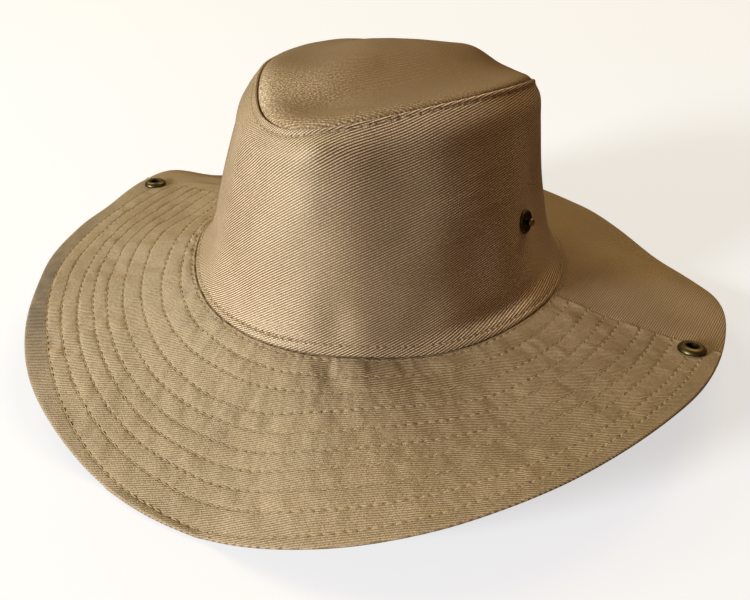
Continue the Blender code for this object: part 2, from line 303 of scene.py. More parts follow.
def newTree(name, inputs):
    tree = bpy.data.node_groups.new(name, "GeometryNodeTree")
    tree.interface.new_socket("Geometry", in_out="INPUT", socket_type="NodeSocketGeometry")
    for label, kind, value in inputs:
        socket = tree.interface.new_socket(label, in_out="INPUT", socket_type=kind)
        if value is not None:
            socket.default_value = value
    tree.interface.new_socket("Geometry", in_out="OUTPUT", socket_type="NodeSocketGeometry")
    return tree, tree.nodes.new("NodeGroupInput").outputs, tree.nodes.new("NodeGroupOutput")


def readMark(tree, label, kind="FLOAT"):
    return addNode(tree, "GeometryNodeInputNamedAttribute", {"Name": label}, data_type=kind).outputs[0]


def endTree(tree, result, geometry, material, smooth=False):
    # Makes instances real and gives the whole its material.
    whole = addNode(tree, "GeometryNodeRealizeInstances", {0: geometry})
    if smooth:
        whole = addNode(tree, "GeometryNodeSetShadeSmooth", {"Geometry": whole.outputs[0]})
    dressed = addNode(tree, "GeometryNodeSetMaterial", {"Geometry": whole.outputs[0], "Material": material})
    tree.links.new(dressed.outputs[0], result.inputs[0])
    return tree


def growWith(piece, tree, values):
    # Runs a Geometry Nodes tree on a piece and keeps the result as a plain mesh.
    modifier = piece.modifiers.new(tree.name, "NODES")
    modifier.node_group = tree
    for item in tree.interface.items_tree:
        if item.item_type == "SOCKET" and item.in_out == "INPUT" and item.name in values:
            modifier[item.identifier] = values[item.name]
    graph = bpy.context.evaluated_depsgraph_get()
    grown = bpy.data.meshes.new_from_object(piece.evaluated_get(graph), preserve_all_data_layers=True,
                                            depsgraph=graph)
    piece.modifiers.clear()
    grown.name = piece.name
    piece.data = grown
    return piece


# How many row widths the cloth stays calm beside a row, and how far a stitch's pull reaches.
calmWidths, pullWidths = 2.2, 1.8
channelApart = 7.3          # keeps the ripples of one channel unlike the next one's


def quiltingTree():
    # Sinks the cloth along its stitch rows, and lets it puff and pucker between them.
    tree, given, result = newTree("quilting", (
        ("Row Sink", "NodeSocketFloat", 0.0005), ("Row Width", "NodeSocketFloat", 0.0007),
        ("Puff", "NodeSocketFloat", 0.0004), ("Pucker", "NodeSocketFloat", 0.0003),
        ("Pucker Size", "NodeSocketFloat", 0.009), ("Channel Pucker", "NodeSocketFloat", 0.0),
        ("Channel Pucker Length", "NodeSocketFloat", 0.008), ("Stitch Pull", "NodeSocketFloat", 0.0001),
        ("Seed", "NodeSocketInt", 3), ("Cloth", "NodeSocketMaterial", None)))
    away, phase, quilt = readMark(tree, "rowDistance"), readMark(tree, "rowPhase"), readMark(tree, "quilt")
    channel, around = readMark(tree, "channel"), readMark(tree, "around")

    def fade(widths):
        # One on a row, falling to nothing beside it.
        share = calc(tree, "DIVIDE", away, times(tree, given["Row Width"], widths))
        return calc(tree, "EXPONENT", times(tree, share, share, -1.0))

    # The rows sink, and the channels between them swell.
    sink = times(tree, fade(1.0), given["Row Sink"])
    swell = calc(tree, "SINE", times(tree, calc(tree, "FRACT", channel), tau / 2))
    puff = times(tree, swell, given["Puff"], quilt)
    # Soft puckers all over, but not at the rows.
    bump = addNode(tree, "ShaderNodeTexNoise", {
        "Vector": addNode(tree, "GeometryNodeInputPosition").outputs[0], "W": given["Seed"], "Detail": 2.0,
        "Scale": calc(tree, "DIVIDE", 1.0, given["Pucker Size"])}, noise_dimensions="4D").outputs[0]
    bump = times(tree, calc(tree, "SUBTRACT", bump, 0.5), 2.0)
    between = times(tree, calc(tree, "SUBTRACT", 1.0, fade(calmWidths)), quilt)
    pucker = times(tree, times(tree, bump, given["Pucker"]), between)
    # Ripples along each channel, different in every one.
    strip = addNode(tree, "ShaderNodeCombineXYZ", {
        0: calc(tree, "DIVIDE", around, given["Channel Pucker Length"]),
        1: times(tree, calc(tree, "FLOOR", channel), channelApart), 2: given["Seed"]}).outputs[0]
    ripple = calc(tree, "MULTIPLY_ADD", noise(tree, strip, 1.0, 1.5), 2.0, -1.0)
    ripple = times(tree, times(tree, ripple, given["Channel Pucker"]), times(tree, swell, quilt))
    # Each stitch pulls the cloth in where the needle went through.
    pull = times(tree, calc(tree, "COSINE", times(tree, phase, tau)), given["Stitch Pull"], fade(pullWidths))
    height = calc(tree, "ADD", calc(tree, "SUBTRACT", puff, sink), calc(tree, "ADD", pucker, pull))
    height = calc(tree, "ADD", height, ripple)
    normal = addNode(tree, "GeometryNodeInputNormal").outputs[0]
    shift = addNode(tree, "ShaderNodeVectorMath", {0: normal, "Scale": height}, operation="SCALE").outputs[0]
    moved = addNode(tree, "GeometryNodeSetPosition", {"Geometry": given["Geometry"], "Offset": shift})
    return endTree(tree, result, moved.outputs[0], given["Cloth"])


# Each bit of thread has a few sides, and its length, width and arch vary between two shares.
threadShape = {"sides": 5, "least": (0.86, 0.85, 0.6), "most": (1.08, 1.2, 1.4)}


def stitchTree():
    # Lays arched bits of thread along a path, leaning on the cloth's own normal.
    tree, given, result = newTree("stitching", (
        ("Stitch Spacing", "NodeSocketFloat", 0.004), ("Stitch Length", "NodeSocketFloat", 0.0031),
        ("Thread Radius", "NodeSocketFloat", 0.0002), ("Arch", "NodeSocketFloat", 0.0004),
        ("Sunk Ends", "NodeSocketFloat", 0.0002), ("Seed", "NodeSocketInt", 5),
        ("Thread", "NodeSocketMaterial", None)))
    path = addNode(tree, "GeometryNodeMeshToCurve", {0: given["Geometry"]})
    points = addNode(tree, "GeometryNodeResampleCurve", {
        "Curve": path.outputs[0], "Length": given["Stitch Spacing"]}, mode="LENGTH")
    half, low = times(tree, given["Stitch Length"], 0.5), times(tree, given["Sunk Ends"], -1.0)
    ends = [addNode(tree, "ShaderNodeCombineXYZ", {0: x, 2: z}).outputs[0] for x, z in (
        (times(tree, half, -1.0), low), (0.0, given["Arch"]), (half, low))]
    arch = addNode(tree, "GeometryNodeCurveQuadraticBezier", {
        "Resolution": threadShape["sides"], "Start": ends[0], "Middle": ends[1], "End": ends[2]})
    ring = addNode(tree, "GeometryNodeCurvePrimitiveCircle", {
        "Resolution": threadShape["sides"], "Radius": given["Thread Radius"]})
    thread = addNode(tree, "GeometryNodeCurveToMesh", {
        "Curve": arch.outputs[0], "Profile Curve": ring.outputs["Curve"], "Fill Caps": True})
    turned = addNode(tree, "FunctionNodeAxesToRotation", {
        0: readMark(tree, "lean", "FLOAT_VECTOR"), 1: addNode(tree, "GeometryNodeInputTangent").outputs[0]},
        primary_axis="Z", secondary_axis="X").outputs[0]
    size = addNode(tree, "FunctionNodeRandomValue", {
        0: threadShape["least"], 1: threadShape["most"], "Seed": given["Seed"]}, data_type="FLOAT_VECTOR")
    laid = addNode(tree, "GeometryNodeInstanceOnPoints", {
        "Points": points.outputs[0], "Instance": thread.outputs[0], "Rotation": turned,
        "Scale": size.outputs[0]})
    return endTree(tree, result, laid.outputs[0], given["Thread"], smooth=True)


def stitchPaths(name, paths):
    # Each path is (points, normals) along one row.
    edges, start = [], 0
    for line, _ in paths:
        edges += [(start + k, start + k + 1) for k in range(len(line) - 1)]
        start += len(line)
    mesh = bpy.data.meshes.new(name)
    mesh.from_pydata(np.concatenate([path[0] for path in paths]).tolist(), edges, [])
    addMark(mesh, "lean", np.concatenate([path[1] for path in paths]), "FLOAT_VECTOR")
    return addObject(name, mesh)


# Small helpers for materials.
def newMaterial(name):
    made = bpy.data.materials.new(name)
    made.use_nodes = True
    return made, made.node_tree, made.node_tree.nodes["Principled BSDF"]


def mapRange(tree, value, low, high, toLow=0.0, toHigh=1.0, **settings):
    return addNode(tree, "ShaderNodeMapRange", {"Value": value, "From Min": low, "From Max": high,
                   "To Min": toLow, "To Max": toHigh}, **settings).outputs[0]


def mixColours(tree, share, first, second):
    # From the first colour to the second. Either may be another node's output.
    first, second = (c if isinstance(c, bpy.types.NodeSocket) else (*c, 1) for c in (first, second))
    sockets = {0: share, "A": first, "B": second}
    return addNode(tree, "ShaderNodeMix", sockets, data_type="RGBA").outputs["Result"]


def ownMark(tree, label):
    mark = addNode(tree, "ShaderNodeAttribute", attribute_name=label, attribute_type="GEOMETRY")
    return mark.outputs["Fac"]


# Cloth. Each panel has its own weave, colours, wear and painted light and shade, and shares the rest.
clothLook = {
    "ribPitch": 0.00097, "ribDrift": 0.6, "driftScale": 40.0, "ribShape": 1.0, "ribCrisp": 0.5,
    "ribDepth": 0.00040, "floats": 0.36, "floatLean": (0.83, 0.5), "grain": 0.35, "grainScale": 1500.0,
    "patchScale": 30.0, "fuzzScale": 620.0, "rowWidth": 0.0007, "rowShade": 0.16, "holeShade": 0.12,
    "pitDepth": 0.9, "bump": 1.0, "fleck": (0.42, 0.60), "holes": (-0.2, -0.95),
    "sheen": 0.06, "sheenRough": 0.5, "gloss": 1.0, "ior": 1.75, "rough": (0.50, 0.62),
    "glossTint": (1.0, 1.0, 1.0), "nap": (0.72, 0.61, 0.45), "browning": (1.12, 1.35),
}


def twillRibs(tree, weave, look):
    # The slanted ribs, and over them the short floats and the yarn's grain.
    turned = addNode(tree, "ShaderNodeMapping", {
        "Vector": weave, "Rotation": (0, 0, -radians(look["ribAngle"])),
        "Scale": (1 / look["ribPitch"],) * 3})
    place = addNode(tree, "ShaderNodeSeparateXYZ", {0: turned.outputs[0]})
    drift = noise(tree, weave, look["driftScale"], 2.0)
    across = calc(tree, "ADD", place.outputs[1], times(tree, drift, look["ribDrift"]))
    rib = calc(tree, "MULTIPLY_ADD", calc(tree, "SINE", times(tree, across, tau)), look["ribCrisp"], 0.5)
    rib.node.use_clamp = True
    rib = calc(tree, "POWER", rib, look["ribShape"])
    alongShare, acrossShare = look["floatLean"]
    lean = calc(tree, "MULTIPLY_ADD", place.outputs[0], alongShare, times(tree, across, acrossShare))
    floats = calc(tree, "MULTIPLY_ADD", calc(tree, "SINE", times(tree, lean, tau)), 0.5, 0.5)
    grain = noise(tree, weave, look["grainScale"], 1.5)
    yarn = times(tree, rib, calc(tree, "MULTIPLY_ADD", floats, look["floats"], 1 - look["floats"]))
    grain = calc(tree, "MULTIPLY_ADD", grain, look["grain"], -0.4 * look["grain"])
    return rib, calc(tree, "ADD", yarn, grain)


def stitchRows(tree, look):
    # A soft line along each row, and the needle holes in it.
    sewing = addNode(tree, "ShaderNodeUVMap", uv_map="stitch").outputs[0]
    seam = addNode(tree, "ShaderNodeSeparateXYZ", {0: sewing})
    line = mapRange(tree, seam.outputs[1], look["rowWidth"], 0.0, interpolation_type="SMOOTHSTEP")
    beat = calc(tree, "COSINE", times(tree, seam.outputs[0], tau))
    return line, times(tree, mapRange(tree, beat, *look["holes"]), line)


def twill(name, look):
    made, tree, shader = newMaterial(name)
    weave = addNode(tree, "ShaderNodeUVMap", uv_map="cloth").outputs[0]
    rib, height = twillRibs(tree, weave, look)
    line, pit = stitchRows(tree, look)
    fuzz = noise(tree, weave, look["fuzzScale"], 2.5, 0.65)
    patches = noise(tree, weave, look["patchScale"], 4.0, 0.62, 0.6)

    def between(value, spread):
        return mapRange(tree, value, 0.3, 0.7, 1 - spread, 1 + spread)

    # The ribs' own colours. Where the nap mark is set, pale flecks stand over them; on the tip that mark follows
    # the painted corner light and the lighter edge.
    ribs = mixColours(tree, height, look["valley"], look["ridge"])
    fleck = times(tree, mapRange(tree, fuzz, *look["fleck"]), calc(tree, "MULTIPLY_ADD", rib, 0.7, 0.3))
    ribs = mixColours(tree, times(tree, ownMark(tree, "nap"), fleck), ribs, look["nap"])
    # How light it is, by mottle, painted shade along the rows and in the needle holes, fuzz, and the tone mark
    # of wear and painted light and shade. Lighter places turn paler and darker ones browner.
    rows = calc(tree, "ADD", times(tree, line, look["rowShade"]), times(tree, pit, look["holeShade"]))
    lit = times(tree, between(patches, look["mottle"]), calc(tree, "SUBTRACT", 1.0, rows),
                between(fuzz, look["fuzz"]), calc(tree, "ADD", ownMark(tree, "tone"), 1.0))
    green, blue = (calc(tree, "POWER", lit, power) for power in look["browning"])
    lit = addNode(tree, "ShaderNodeCombineXYZ", {0: lit, 1: green, 2: blue}).outputs[0]
    colour = addNode(tree, "ShaderNodeVectorMath", {0: ribs, 1: lit}, operation="MULTIPLY").outputs[0]
    blur = calc(tree, "MULTIPLY_ADD", fuzz, 0.5, times(tree, patches, 0.5))
    relief = calc(tree, "MULTIPLY_ADD", fuzz, 0.5, height)
    relief = calc(tree, "SUBTRACT", relief, times(tree, pit, look["pitDepth"]))
    bump = addNode(tree, "ShaderNodeBump", {
        "Strength": look["bump"], "Distance": look["ribDepth"], "Height": relief})
    wire(tree, shader, {
        "Base Color": colour, "Roughness": mapRange(tree, blur, 0.35, 0.65, *look["rough"]),
        "Normal": bump.outputs[0], "Sheen Weight": look["sheen"], "Sheen Roughness": look["sheenRough"],
        "Specular IOR Level": look["gloss"], "Specular Tint": (*look["glossTint"], 1), "IOR": look["ior"]})
    return made


threadLook = {"light": (0.53, 0.40, 0.235), "dark": (0.34, 0.24, 0.125), "plyScale": 900.0,
              "plyDepth": 0.0001, "plyBump": 0.6, "rough": 0.45, "plyRough": 0.2, "sheen": 0.1}


def threadMaterial(look):
    made, tree, shader = newMaterial("hatThread")
    where = addNode(tree, "ShaderNodeTexCoord").outputs["Object"]
    ply = noise(tree, where, look["plyScale"], 2.0)
    bump = addNode(tree, "ShaderNodeBump", {
        "Strength": look["plyBump"], "Distance": look["plyDepth"], "Height": ply})
    wire(tree, shader, {
        "Base Color": mixColours(tree, ply, look["dark"], look["light"]), "Normal": bump.outputs[0],
        "Roughness": calc(tree, "MULTIPLY_ADD", ply, look["plyRough"], look["rough"]),
        "Sheen Weight": look["sheen"]})
    return made


brassLook = {"bright": (0.205, 0.165, 0.082), "dull": (0.034, 0.026, 0.014), "blotch": 320.0,
             "tarnishFrom": 0.35, "tarnishTo": 0.95, "rough": 0.30, "tarnishRough": 0.28,
             "pitScale": 2600.0, "pitDepth": 0.00005, "pitBump": 0.25}


def brassMaterial(look):
    made, tree, shader = newMaterial("darkenedBrass")
    where = addNode(tree, "ShaderNodeTexCoord").outputs["Object"]
    darkening = calc(tree, "ADD", noise(tree, where, look["blotch"], 4.0), ownMark(tree, "recess"))
    tarnish = mapRange(tree, darkening, look["tarnishFrom"], look["tarnishTo"])
    bump = addNode(tree, "ShaderNodeBump", {"Strength": look["pitBump"], "Distance": look["pitDepth"],
                   "Height": noise(tree, where, look["pitScale"], 2.0)})
    wire(tree, shader, {
        "Base Color": mixColours(tree, tarnish, look["bright"], look["dull"]), "Normal": bump.outputs[0],
        "Roughness": calc(tree, "MULTIPLY_ADD", tarnish, look["tarnishRough"], look["rough"]),
        "Metallic": 1.0})
    return made


quilting, stitching = quiltingTree(), stitchTree()
hatThread, darkenedBrass = threadMaterial(threadLook), brassMaterial(brassLook)
noRow = 0.02            # the row distance written where no stitch row is near
stitchLong = 0.0040
threadSunk = 0.7        # how deep the thread lies, as a share of its row's sink


def noRows(places):
    # The stitch map of cloth that has no rows.
    return np.stack([0 * places, 0 * places + noRow], -1)


def arcLengths(points):
    steps = np.linalg.norm(np.diff(points, axis=0), axis=-1)
    return np.concatenate([np.zeros((1,) + steps.shape[1:]), np.cumsum(steps, axis=0)])


def rowMarks(turns, runs, rowRuns, rowLines):
    # Distance to the nearest stitch row, and the stitch count along it, for a grid of points.
    away = np.abs(runs[:, :, None] - rowRuns[:, None, :])
    share = (turns - turns[0]) / (turns[-1] - turns[0])
    stitches = [int(arcLengths(line)[-1] / stitchLong) for line in rowLines]
    return away.min(-1), np.take(stitches, away.argmin(-1)) * share[:, None]


def upward(normals):
    return normals * np.where(normals[..., 2:3] < 0, -1.0, 1.0)


def gridNormals(points):
    return unit(np.cross(np.gradient(points, axis=0), np.gradient(points, axis=1)))


def rolledEdge(edge, normals, way, radius, degrees):
    # Cloth turned round a small radius where it passes its edge. The way leads over the edge.
    bends = np.radians(degrees)
    out = unit(normals - way * (normals * way).sum(-1, keepdims=True))
    return ((edge - out * radius)[:, None] + out[:, None] * (radius * np.cos(bends))[:, None]
            + way[:, None] * (radius * np.sin(bends))[:, None])


# The brim. Its rows of points stand closest by the crown and its columns at the side seams.
brimPiece = {
    "columns": 400, "backColumns": 280, "lowRows": 16,
    "edge": 0.0008, "edgeBends": (18, 40, 65, 90, 115, 140, 165), "firstRow": 0.0016, "lastPinned": 0.0024,
    "innerRuns": (-0.0016, -0.0008, 0.0, 0.0003, 0.0007, 0.0011, 0.0016, 0.0021, 0.0027),
    "rowSteps": (-0.0024, -0.0015, -0.0008, -0.0004, 0.0, 0.0004, 0.0008, 0.0015, 0.0024),
    "hemSteps": (0.3, 0.55, 0.75, 0.9, 1.0), "backRows": 41, "rowBeside": 0.0006,
    "endTurns": (0.0, 0.002, 0.004, 0.006, 0.008, 0.010, 0.0125, 0.0155, 0.019), "endsOver": 0.024,
    "uneven": 0.0005, "unevenSize": 0.055, "unevenSeed": 11, "unevenFrom": 0.012, "unevenEnd": 0.1,
    "rimUneven": 0.25, "foldLean": 0.12, "foldFrom": 0.003, "foldEnd": 0.006,
    "creaseDip": 0.0005, "creaseWide": 0.0005,
    "hemQuilt": 0.35, "quiltEnd": 0.002, "backQuiltFrom": 0.01, "backQuiltEnd": 0.004,
    "sink": 0.00019, "rowWidth": 0.00045, "puff": 0.00014, "pucker": 0.00065, "puckerSize": 0.009,
    "channelPucker": 0.00085, "channelPuckerLength": 0.0075, "stitchPull": 0.00016, "channelTurns": 0.125,
}

# The brim's puckers, most of them where the crown's seam gathers it: degrees round, run in mm, the spreads of
# both, and the rise in mm.
seamPuckers = (
    (-66, 10, 2.5, 8, -0.6), (-52, 5, 2.0, 7, 0.4), (-38, 8, 2.0, 8, -0.4), (-20, 3, 2.2, 6, -0.7),
    (-14, 5, 2.0, 7, 0.5), (-3, 7, 1.8, 8, -0.5), (6, 20, 2.0, 9, -0.4), (14, 5, 2.4, 7, 0.3),
    (21.5, 6, 2.2, 9, -0.9), (27.5, 6, 3.0, 8, 0.8), (40, 4, 2.2, 6, -0.2), (50, 8, 3.5, 9, 0.7),
    (68, 13, 3.5, 8, -0.6), (84, 15, 3.0, 10, 0.5), (76, 22, 2.5, 12, -0.4), (-74, 28, 3.0, 18, -0.5),
    (-57, 22, 2.0, 12, 0.3), (120, 9, 4.0, 8, -0.8), (135, 12, 5.0, 9, 0.6), (150, 8, 4.0, 8, -0.6),
    (-95, 40, 1.2, 12, 0.5), (-99, 34, 1.4, 14, -0.5), (-103, 42, 1.3, 12, 0.5), (-107, 30, 1.5, 14, -0.4),
    (-112, 44, 1.6, 12, 0.4))

# And small ones anywhere on the front: how many, and the least and most of the same five measures.
smallFolds = {"count": 34, "seed": 41, "between": ((-92, 92), (0, 70), (0.8, 2.0), (4, 13), (-0.45, 0.45))}
rng = np.random.default_rng(smallFolds["seed"])
smallPuckers = np.stack([rng.uniform(*between, smallFolds["count"]) for between in smallFolds["between"]], 1)


def brimAt(turn, run):
    # The brim's upper face as it lies, in the hat's own frame and kept off the floor.
    turn, run = np.broadcast_arrays(np.asarray(turn, float), np.asarray(run, float))
    point = brimPlain(turn, run)
    reach = brimReach(turn)
    share = np.clip(run / reach, 0, 1)
    point += outwardAt(turn) * (everyTen(settled["seamOut"], turn) * (1 - share))[..., None]
    lift = everyTen(settled["seamUp"], turn) * (1 - share) + everyTen(settled["rimUp"], turn) * share
    lift += everyTen(settled["sag"], turn) * np.sin(share * tau / 2)
    calm = np.clip(run / brimPiece["unevenFrom"], 0, 1)
    calm = calm * np.clip((1 - share) / brimPiece["unevenEnd"], brimPiece["rimUneven"], 1)
    lift += brimPiece["uneven"] * calm * waves(point, brimPiece["unevenSize"], brimPiece["unevenSeed"])
    fold = 0.0
    for degrees, at, wide, long, rise in (*seamPuckers, *smallPuckers):
        past = run * 1000 - at
        lean = angleTo(turn, degrees + brimPiece["foldLean"] * past)
        fold = fold + rise / 1000 * np.exp(-(lean / wide) ** 2 - (past / long) ** 2)
    fold = fold * np.clip(run / brimPiece["foldFrom"], 0, 1)
    lift += fold * np.clip((reach - run) / brimPiece["foldEnd"], 0, 1)
    lift -= brimPiece["creaseDip"] * np.exp(-np.maximum(run, 0) / brimPiece["creaseWide"])
    point[..., 2] = np.maximum(point[..., 2] + lift, 2 * brimPiece["edge"])
    return point - rimMiddle


# The two side seams: a narrow dip at each panel's ends and the ridge of the turned seam beside it, with painted
# shade in the crease between two worn edges. Both are weaker towards the crown.
sideSeam = {
    "radius": 0.098, "outerFrom": 0.056, "outerOver": 0.010, "innerDip": 0.45, "innerShade": 0.10,
    "ridge": 0.0005, "ridgeAt": 0.0018, "ridgeWide": 0.0012, "dip": 0.00035, "dipWide": 0.0007,
    "lightening": 0.14, "wornAt": 0.0016, "wornWide": 0.0007, "shade": 0.45, "shadeWide": 0.0006,
}


def sideAway(turns, runs):
    nearest = np.abs(np.stack([turns - turns[0], turns - turns[-1]])).min(0)
    return nearest[:, None] * (sideSeam["radius"] + runs)


def sideFade(runs, inner):
    return inner + (1 - inner) * np.clip((runs - sideSeam["outerFrom"]) / sideSeam["outerOver"], 0, 1)


def sideCrease(turns, runs, ridge):
    away, s = sideAway(turns, runs), sideSeam
    shape = ridge * bell((away - s["ridgeAt"]) / s["ridgeWide"]) - s["dip"] * bell(away / s["dipWide"])
    return sideFade(runs, s["innerDip"]) * shape


def sideTone(turns, runs):
    away, s = sideAway(turns, runs), sideSeam
    shade = s["lightening"] * bell((away - s["wornAt"]) / s["wornWide"]) - s["shade"] * bell(away / s["shadeWide"])
    return sideFade(runs, s["innerShade"]) * shade


def brimPanel(name, turns, runs, rowRuns, quilt, tone, cloth, ridge, sizes):
    edge = brimPiece["edge"]
    upper = brimAt(turns[:, None], runs)
    upper[..., 2] += sideCrease(turns, runs, ridge)
    normals = upward(gridNormals(upper))
    roll = rolledEdge(upper[:, -1], normals[:, -1], unit(upper[:, -1] - upper[:, -3]), edge,
                      brimPiece["edgeBends"])
    roll[..., 2] = np.maximum(roll[..., 2], 0.0)
    upper = np.concatenate([upper, roll], 1)
    allRuns = np.concatenate([runs, runs[:, -1:] + edge * np.radians(brimPiece["edgeBends"])], 1)
    lowRuns = runs[:, :1] + np.linspace(0, 1, brimPiece["lowRows"]) * (runs[:, -1:] - runs[:, :1])
    lower = brimAt(turns[:, None], lowRuns)
    lower[..., 2] = np.maximum(lower[..., 2] + sideCrease(turns, lowRuns, 0.0) - 2 * edge, 0.0)
    # What the quilting tree reads: the rows, the channels between them and the way round.
    away, phase = rowMarks(turns, allRuns, rowRuns, [brimAt(turns, row) for row in rowRuns.T])
    borders = np.concatenate([0 * rowRuns[:, :1], rowRuns, brimReach(turns)[:, None]], 1)
    order = np.arange(borders.shape[1])
    channel = np.stack([np.interp(allRuns[k], borders[k], order) for k in range(len(turns))])
    around = turns[:, None] * brimPiece["channelTurns"] + 0 * allRuns
    sheet = sewnSheet(name, upper, lower,
                      {"cloth": (upper[..., :2], lower[..., :2]),
                       "stitch": (np.stack([phase, away], -1), noRows(lowRuns))},
                      {"rowDistance": (away, noRow), "rowPhase": (phase, 0.0), "channel": (channel, 0.0),
                       "around": (around, 0.0), "quilt": (quilt(turns, allRuns), 0.0),
                       "tone": (tone(turns, allRuns), 0.0)})
    growWith(sheet, quilting, {**sizes, "Cloth": cloth})
    paths = []
    for row in rowRuns.T:
        line = brimAt(turns, row)
        across = unit(brimAt(turns, row + brimPiece["rowBeside"]) - line)
        normal = upward(unit(np.cross(across, unit(np.gradient(line, axis=0)))))
        paths.append((line - normal * sizes["Row Sink"] * threadSunk, normal))
    print("hat:", name, len(sheet.data.polygons), "faces")
    return sheet, paths


def panelTurns(start, end, columns):
    ends, over = np.array(brimPiece["endTurns"]), brimPiece["endsOver"]
    return np.concatenate([start + ends, np.linspace(start + over, end - over, columns), (end - ends)[::-1]])


def innerRuns(turns):
    return np.array(brimPiece["innerRuns"]) + 0 * turns[:, None]


# Where the front brim's nine rows run, in millimetres out from the crown's seam, at every thirty degrees from
# -90 to 90.
brimRows = (
    (5.4, 5.2, 8.4, 8.8, 9.8, 10.5, 8.4), (11.7, 13.1, 17.7, 17.0, 16.7, 20.0, 17.6),
    (16.1, 24.2, 26.4, 27.8, 24.3, 28.5, 26.0), (24.9, 32.9, 34.7, 35.0, 33.0, 35.4, 33.0),
    (32.1, 40.7, 42.3, 42.9, 41.1, 44.6, 42.7), (38.5, 47.8, 48.4, 50.3, 48.4, 51.2, 49.7),
    (46.0, 54.0, 55.8, 57.7, 56.5, 58.3, 57.0), (53.5, 62.0, 62.9, 65.3, 64.4, 65.8, 65.5),
    (61.5, 69.2, 69.6, 75.3, 72.7, 72.3, 70.7))


def frontRows(turns):
    place = np.clip(np.degrees(turns) / 30 + 3, 0, 6)
    first = 0 * turns + brimPiece["firstRow"]
    return np.stack([first, *(smoothAlong(row, place, False) / 1000 for row in brimRows)], 1)


def frontRuns(turns):
    rows = frontRows(turns)
    outermost = brimReach(turns)[:, None] - brimPiece["edge"]
    near = (rows[:, 1:, None] + np.array(brimPiece["rowSteps"])).reshape(len(turns), -1)
    between = (rows[:, 1:] + np.concatenate([rows[:, :1], rows[:, 1:-1]], 1)) / 2
    last = rows[:, -1:] + brimPiece["lastPinned"]
    hem = last + (outermost - last) * np.array(brimPiece["hemSteps"])
    runs = np.sort(np.concatenate([innerRuns(turns), near, between, hem], 1), 1)
    return np.minimum(runs, outermost) + np.arange(runs.shape[1]) * 1e-7


def frontQuilt(turns, runs):
    # Puckers are full between the rows, weaker on the hem and gone at the rim.
    sewn = frontRows(turns)[:, -1:]
    calm = np.clip((brimReach(turns)[:, None] - runs) / brimPiece["quiltEnd"], 0, 1) * (runs > 0)
    return np.where(runs < sewn, 1.0, brimPiece["hemQuilt"]) * calm


# How much lighter or darker the brim's cloth is: worn places, a darker hem, and painted light and shade.
brimShades = {
    "foldWorn": 0.12, "foldUnderShade": 0.45, "foldWide": 0.0009, "foldAt": -0.0006, "underShadeFrom": 0.0001,
    "paintedCreaseShade": 0.2, "creaseWide": 0.0007,
    # Painted light and painted shade across the front, where the light falls on it or turns away.
    "front": ((-18, 24, 0.09), (48, 22, -0.07)),        # degrees, spread and share
    "hem": 0.08, "hemOver": 0.0012, "hemDarker": 0.50, "hemDarkerAt": -49, "hemDarkerWide": 21,
    "hemPatch": 0.4, "hemPatchSize": 0.009, "hemPatchSeed": 58,
    # Painted light towards the rim beside the left snap.
    "backPaintedLight": 0.20, "backPaintedLightAt": 126, "backPaintedLightWide": 20, "backPaintedLightOver": 0.05,
}


def rimFold(turns, runs):
    # The folded rim is worn lighter on top, with painted shade underneath.
    past = runs - brimReach(turns)[:, None]
    wide = brimShades["foldWide"]
    return (brimShades["foldWorn"] * bell((past - brimShades["foldAt"]) / wide)
            - brimShades["foldUnderShade"] * np.clip((past - brimShades["underShadeFrom"]) / wide, 0, 1))


# Painted shade in the crease where the brim meets the crown.
def creaseTone(runs):
    return brimShades["paintedCreaseShade"] * np.exp(-np.maximum(runs, 0) / brimShades["creaseWide"])


def frontTone(turns, runs):
    # The hem is darker, most and in patches at the hat's right side. The front has painted light a little to the
    # hat's right and painted shade towards its left, with painted shade in the crease and under the rim.
    s = brimShades
    hem = np.clip((runs - frontRows(turns)[:, -1:]) / s["hemOver"], 0, 1)
    sideways = bell(angleTo(turns, s["hemDarkerAt"]) / s["hemDarkerWide"])[:, None]
    patches = waves(brimAt(turns[:, None], runs), s["hemPatchSize"], s["hemPatchSeed"])
    patches = 1.0 + s["hemPatch"] * patches
    front = sum(share * bell(angleTo(turns, degrees) / wide) for degrees, wide, share in s["front"])
    darkening = hem * (s["hem"] + s["hemDarker"] * sideways * patches)
    return front[:, None] + rimFold(turns, runs) + sideTone(turns, runs) - darkening - creaseTone(runs)


brimTwill = {
    **clothLook, "ribAngle": 28.0, "ribPitch": 0.00085, "ribDepth": 0.00028, "floats": 0.10,
    "mottle": 0.10, "patchScale": 55.0, "fuzz": 0.34, "fuzzScale": 1000.0,
    "valley": (0.240, 0.160, 0.080), "ridge": (0.510, 0.365, 0.205), "ior": 1.6, "rough": (0.56, 0.70),
}
frontTurns = panelTurns(-seamTurn, seamTurn, brimPiece["columns"])
brimFront, frontPaths = brimPanel(
    "brimFront", frontTurns, frontRuns(frontTurns), frontRows(frontTurns), frontQuilt, frontTone,
    twill("twillBrim", brimTwill), sideSeam["ridge"],
    {"Row Sink": brimPiece["sink"], "Row Width": brimPiece["rowWidth"], "Puff": brimPiece["puff"],
     "Pucker": brimPiece["pucker"], "Pucker Size": brimPiece["puckerSize"],
     "Stitch Pull": brimPiece["stitchPull"], "Channel Pucker": brimPiece["channelPucker"],
     "Channel Pucker Length": brimPiece["channelPuckerLength"]})


def backRuns(turns):
    first = innerRuns(turns)
    outermost = brimReach(turns)[:, None] - brimPiece["edge"]
    steps = np.linspace(0, 1, brimPiece["backRows"] + 1)[1:]
    return np.concatenate([first, first[:, -1:] + (outermost - first[:, -1:]) * steps], 1)


def backQuilt(turns, runs):
    calm = np.clip((brimReach(turns)[:, None] - runs) / brimPiece["backQuiltEnd"], 0, 1)
    return np.clip(runs / brimPiece["backQuiltFrom"], 0, 1) * calm


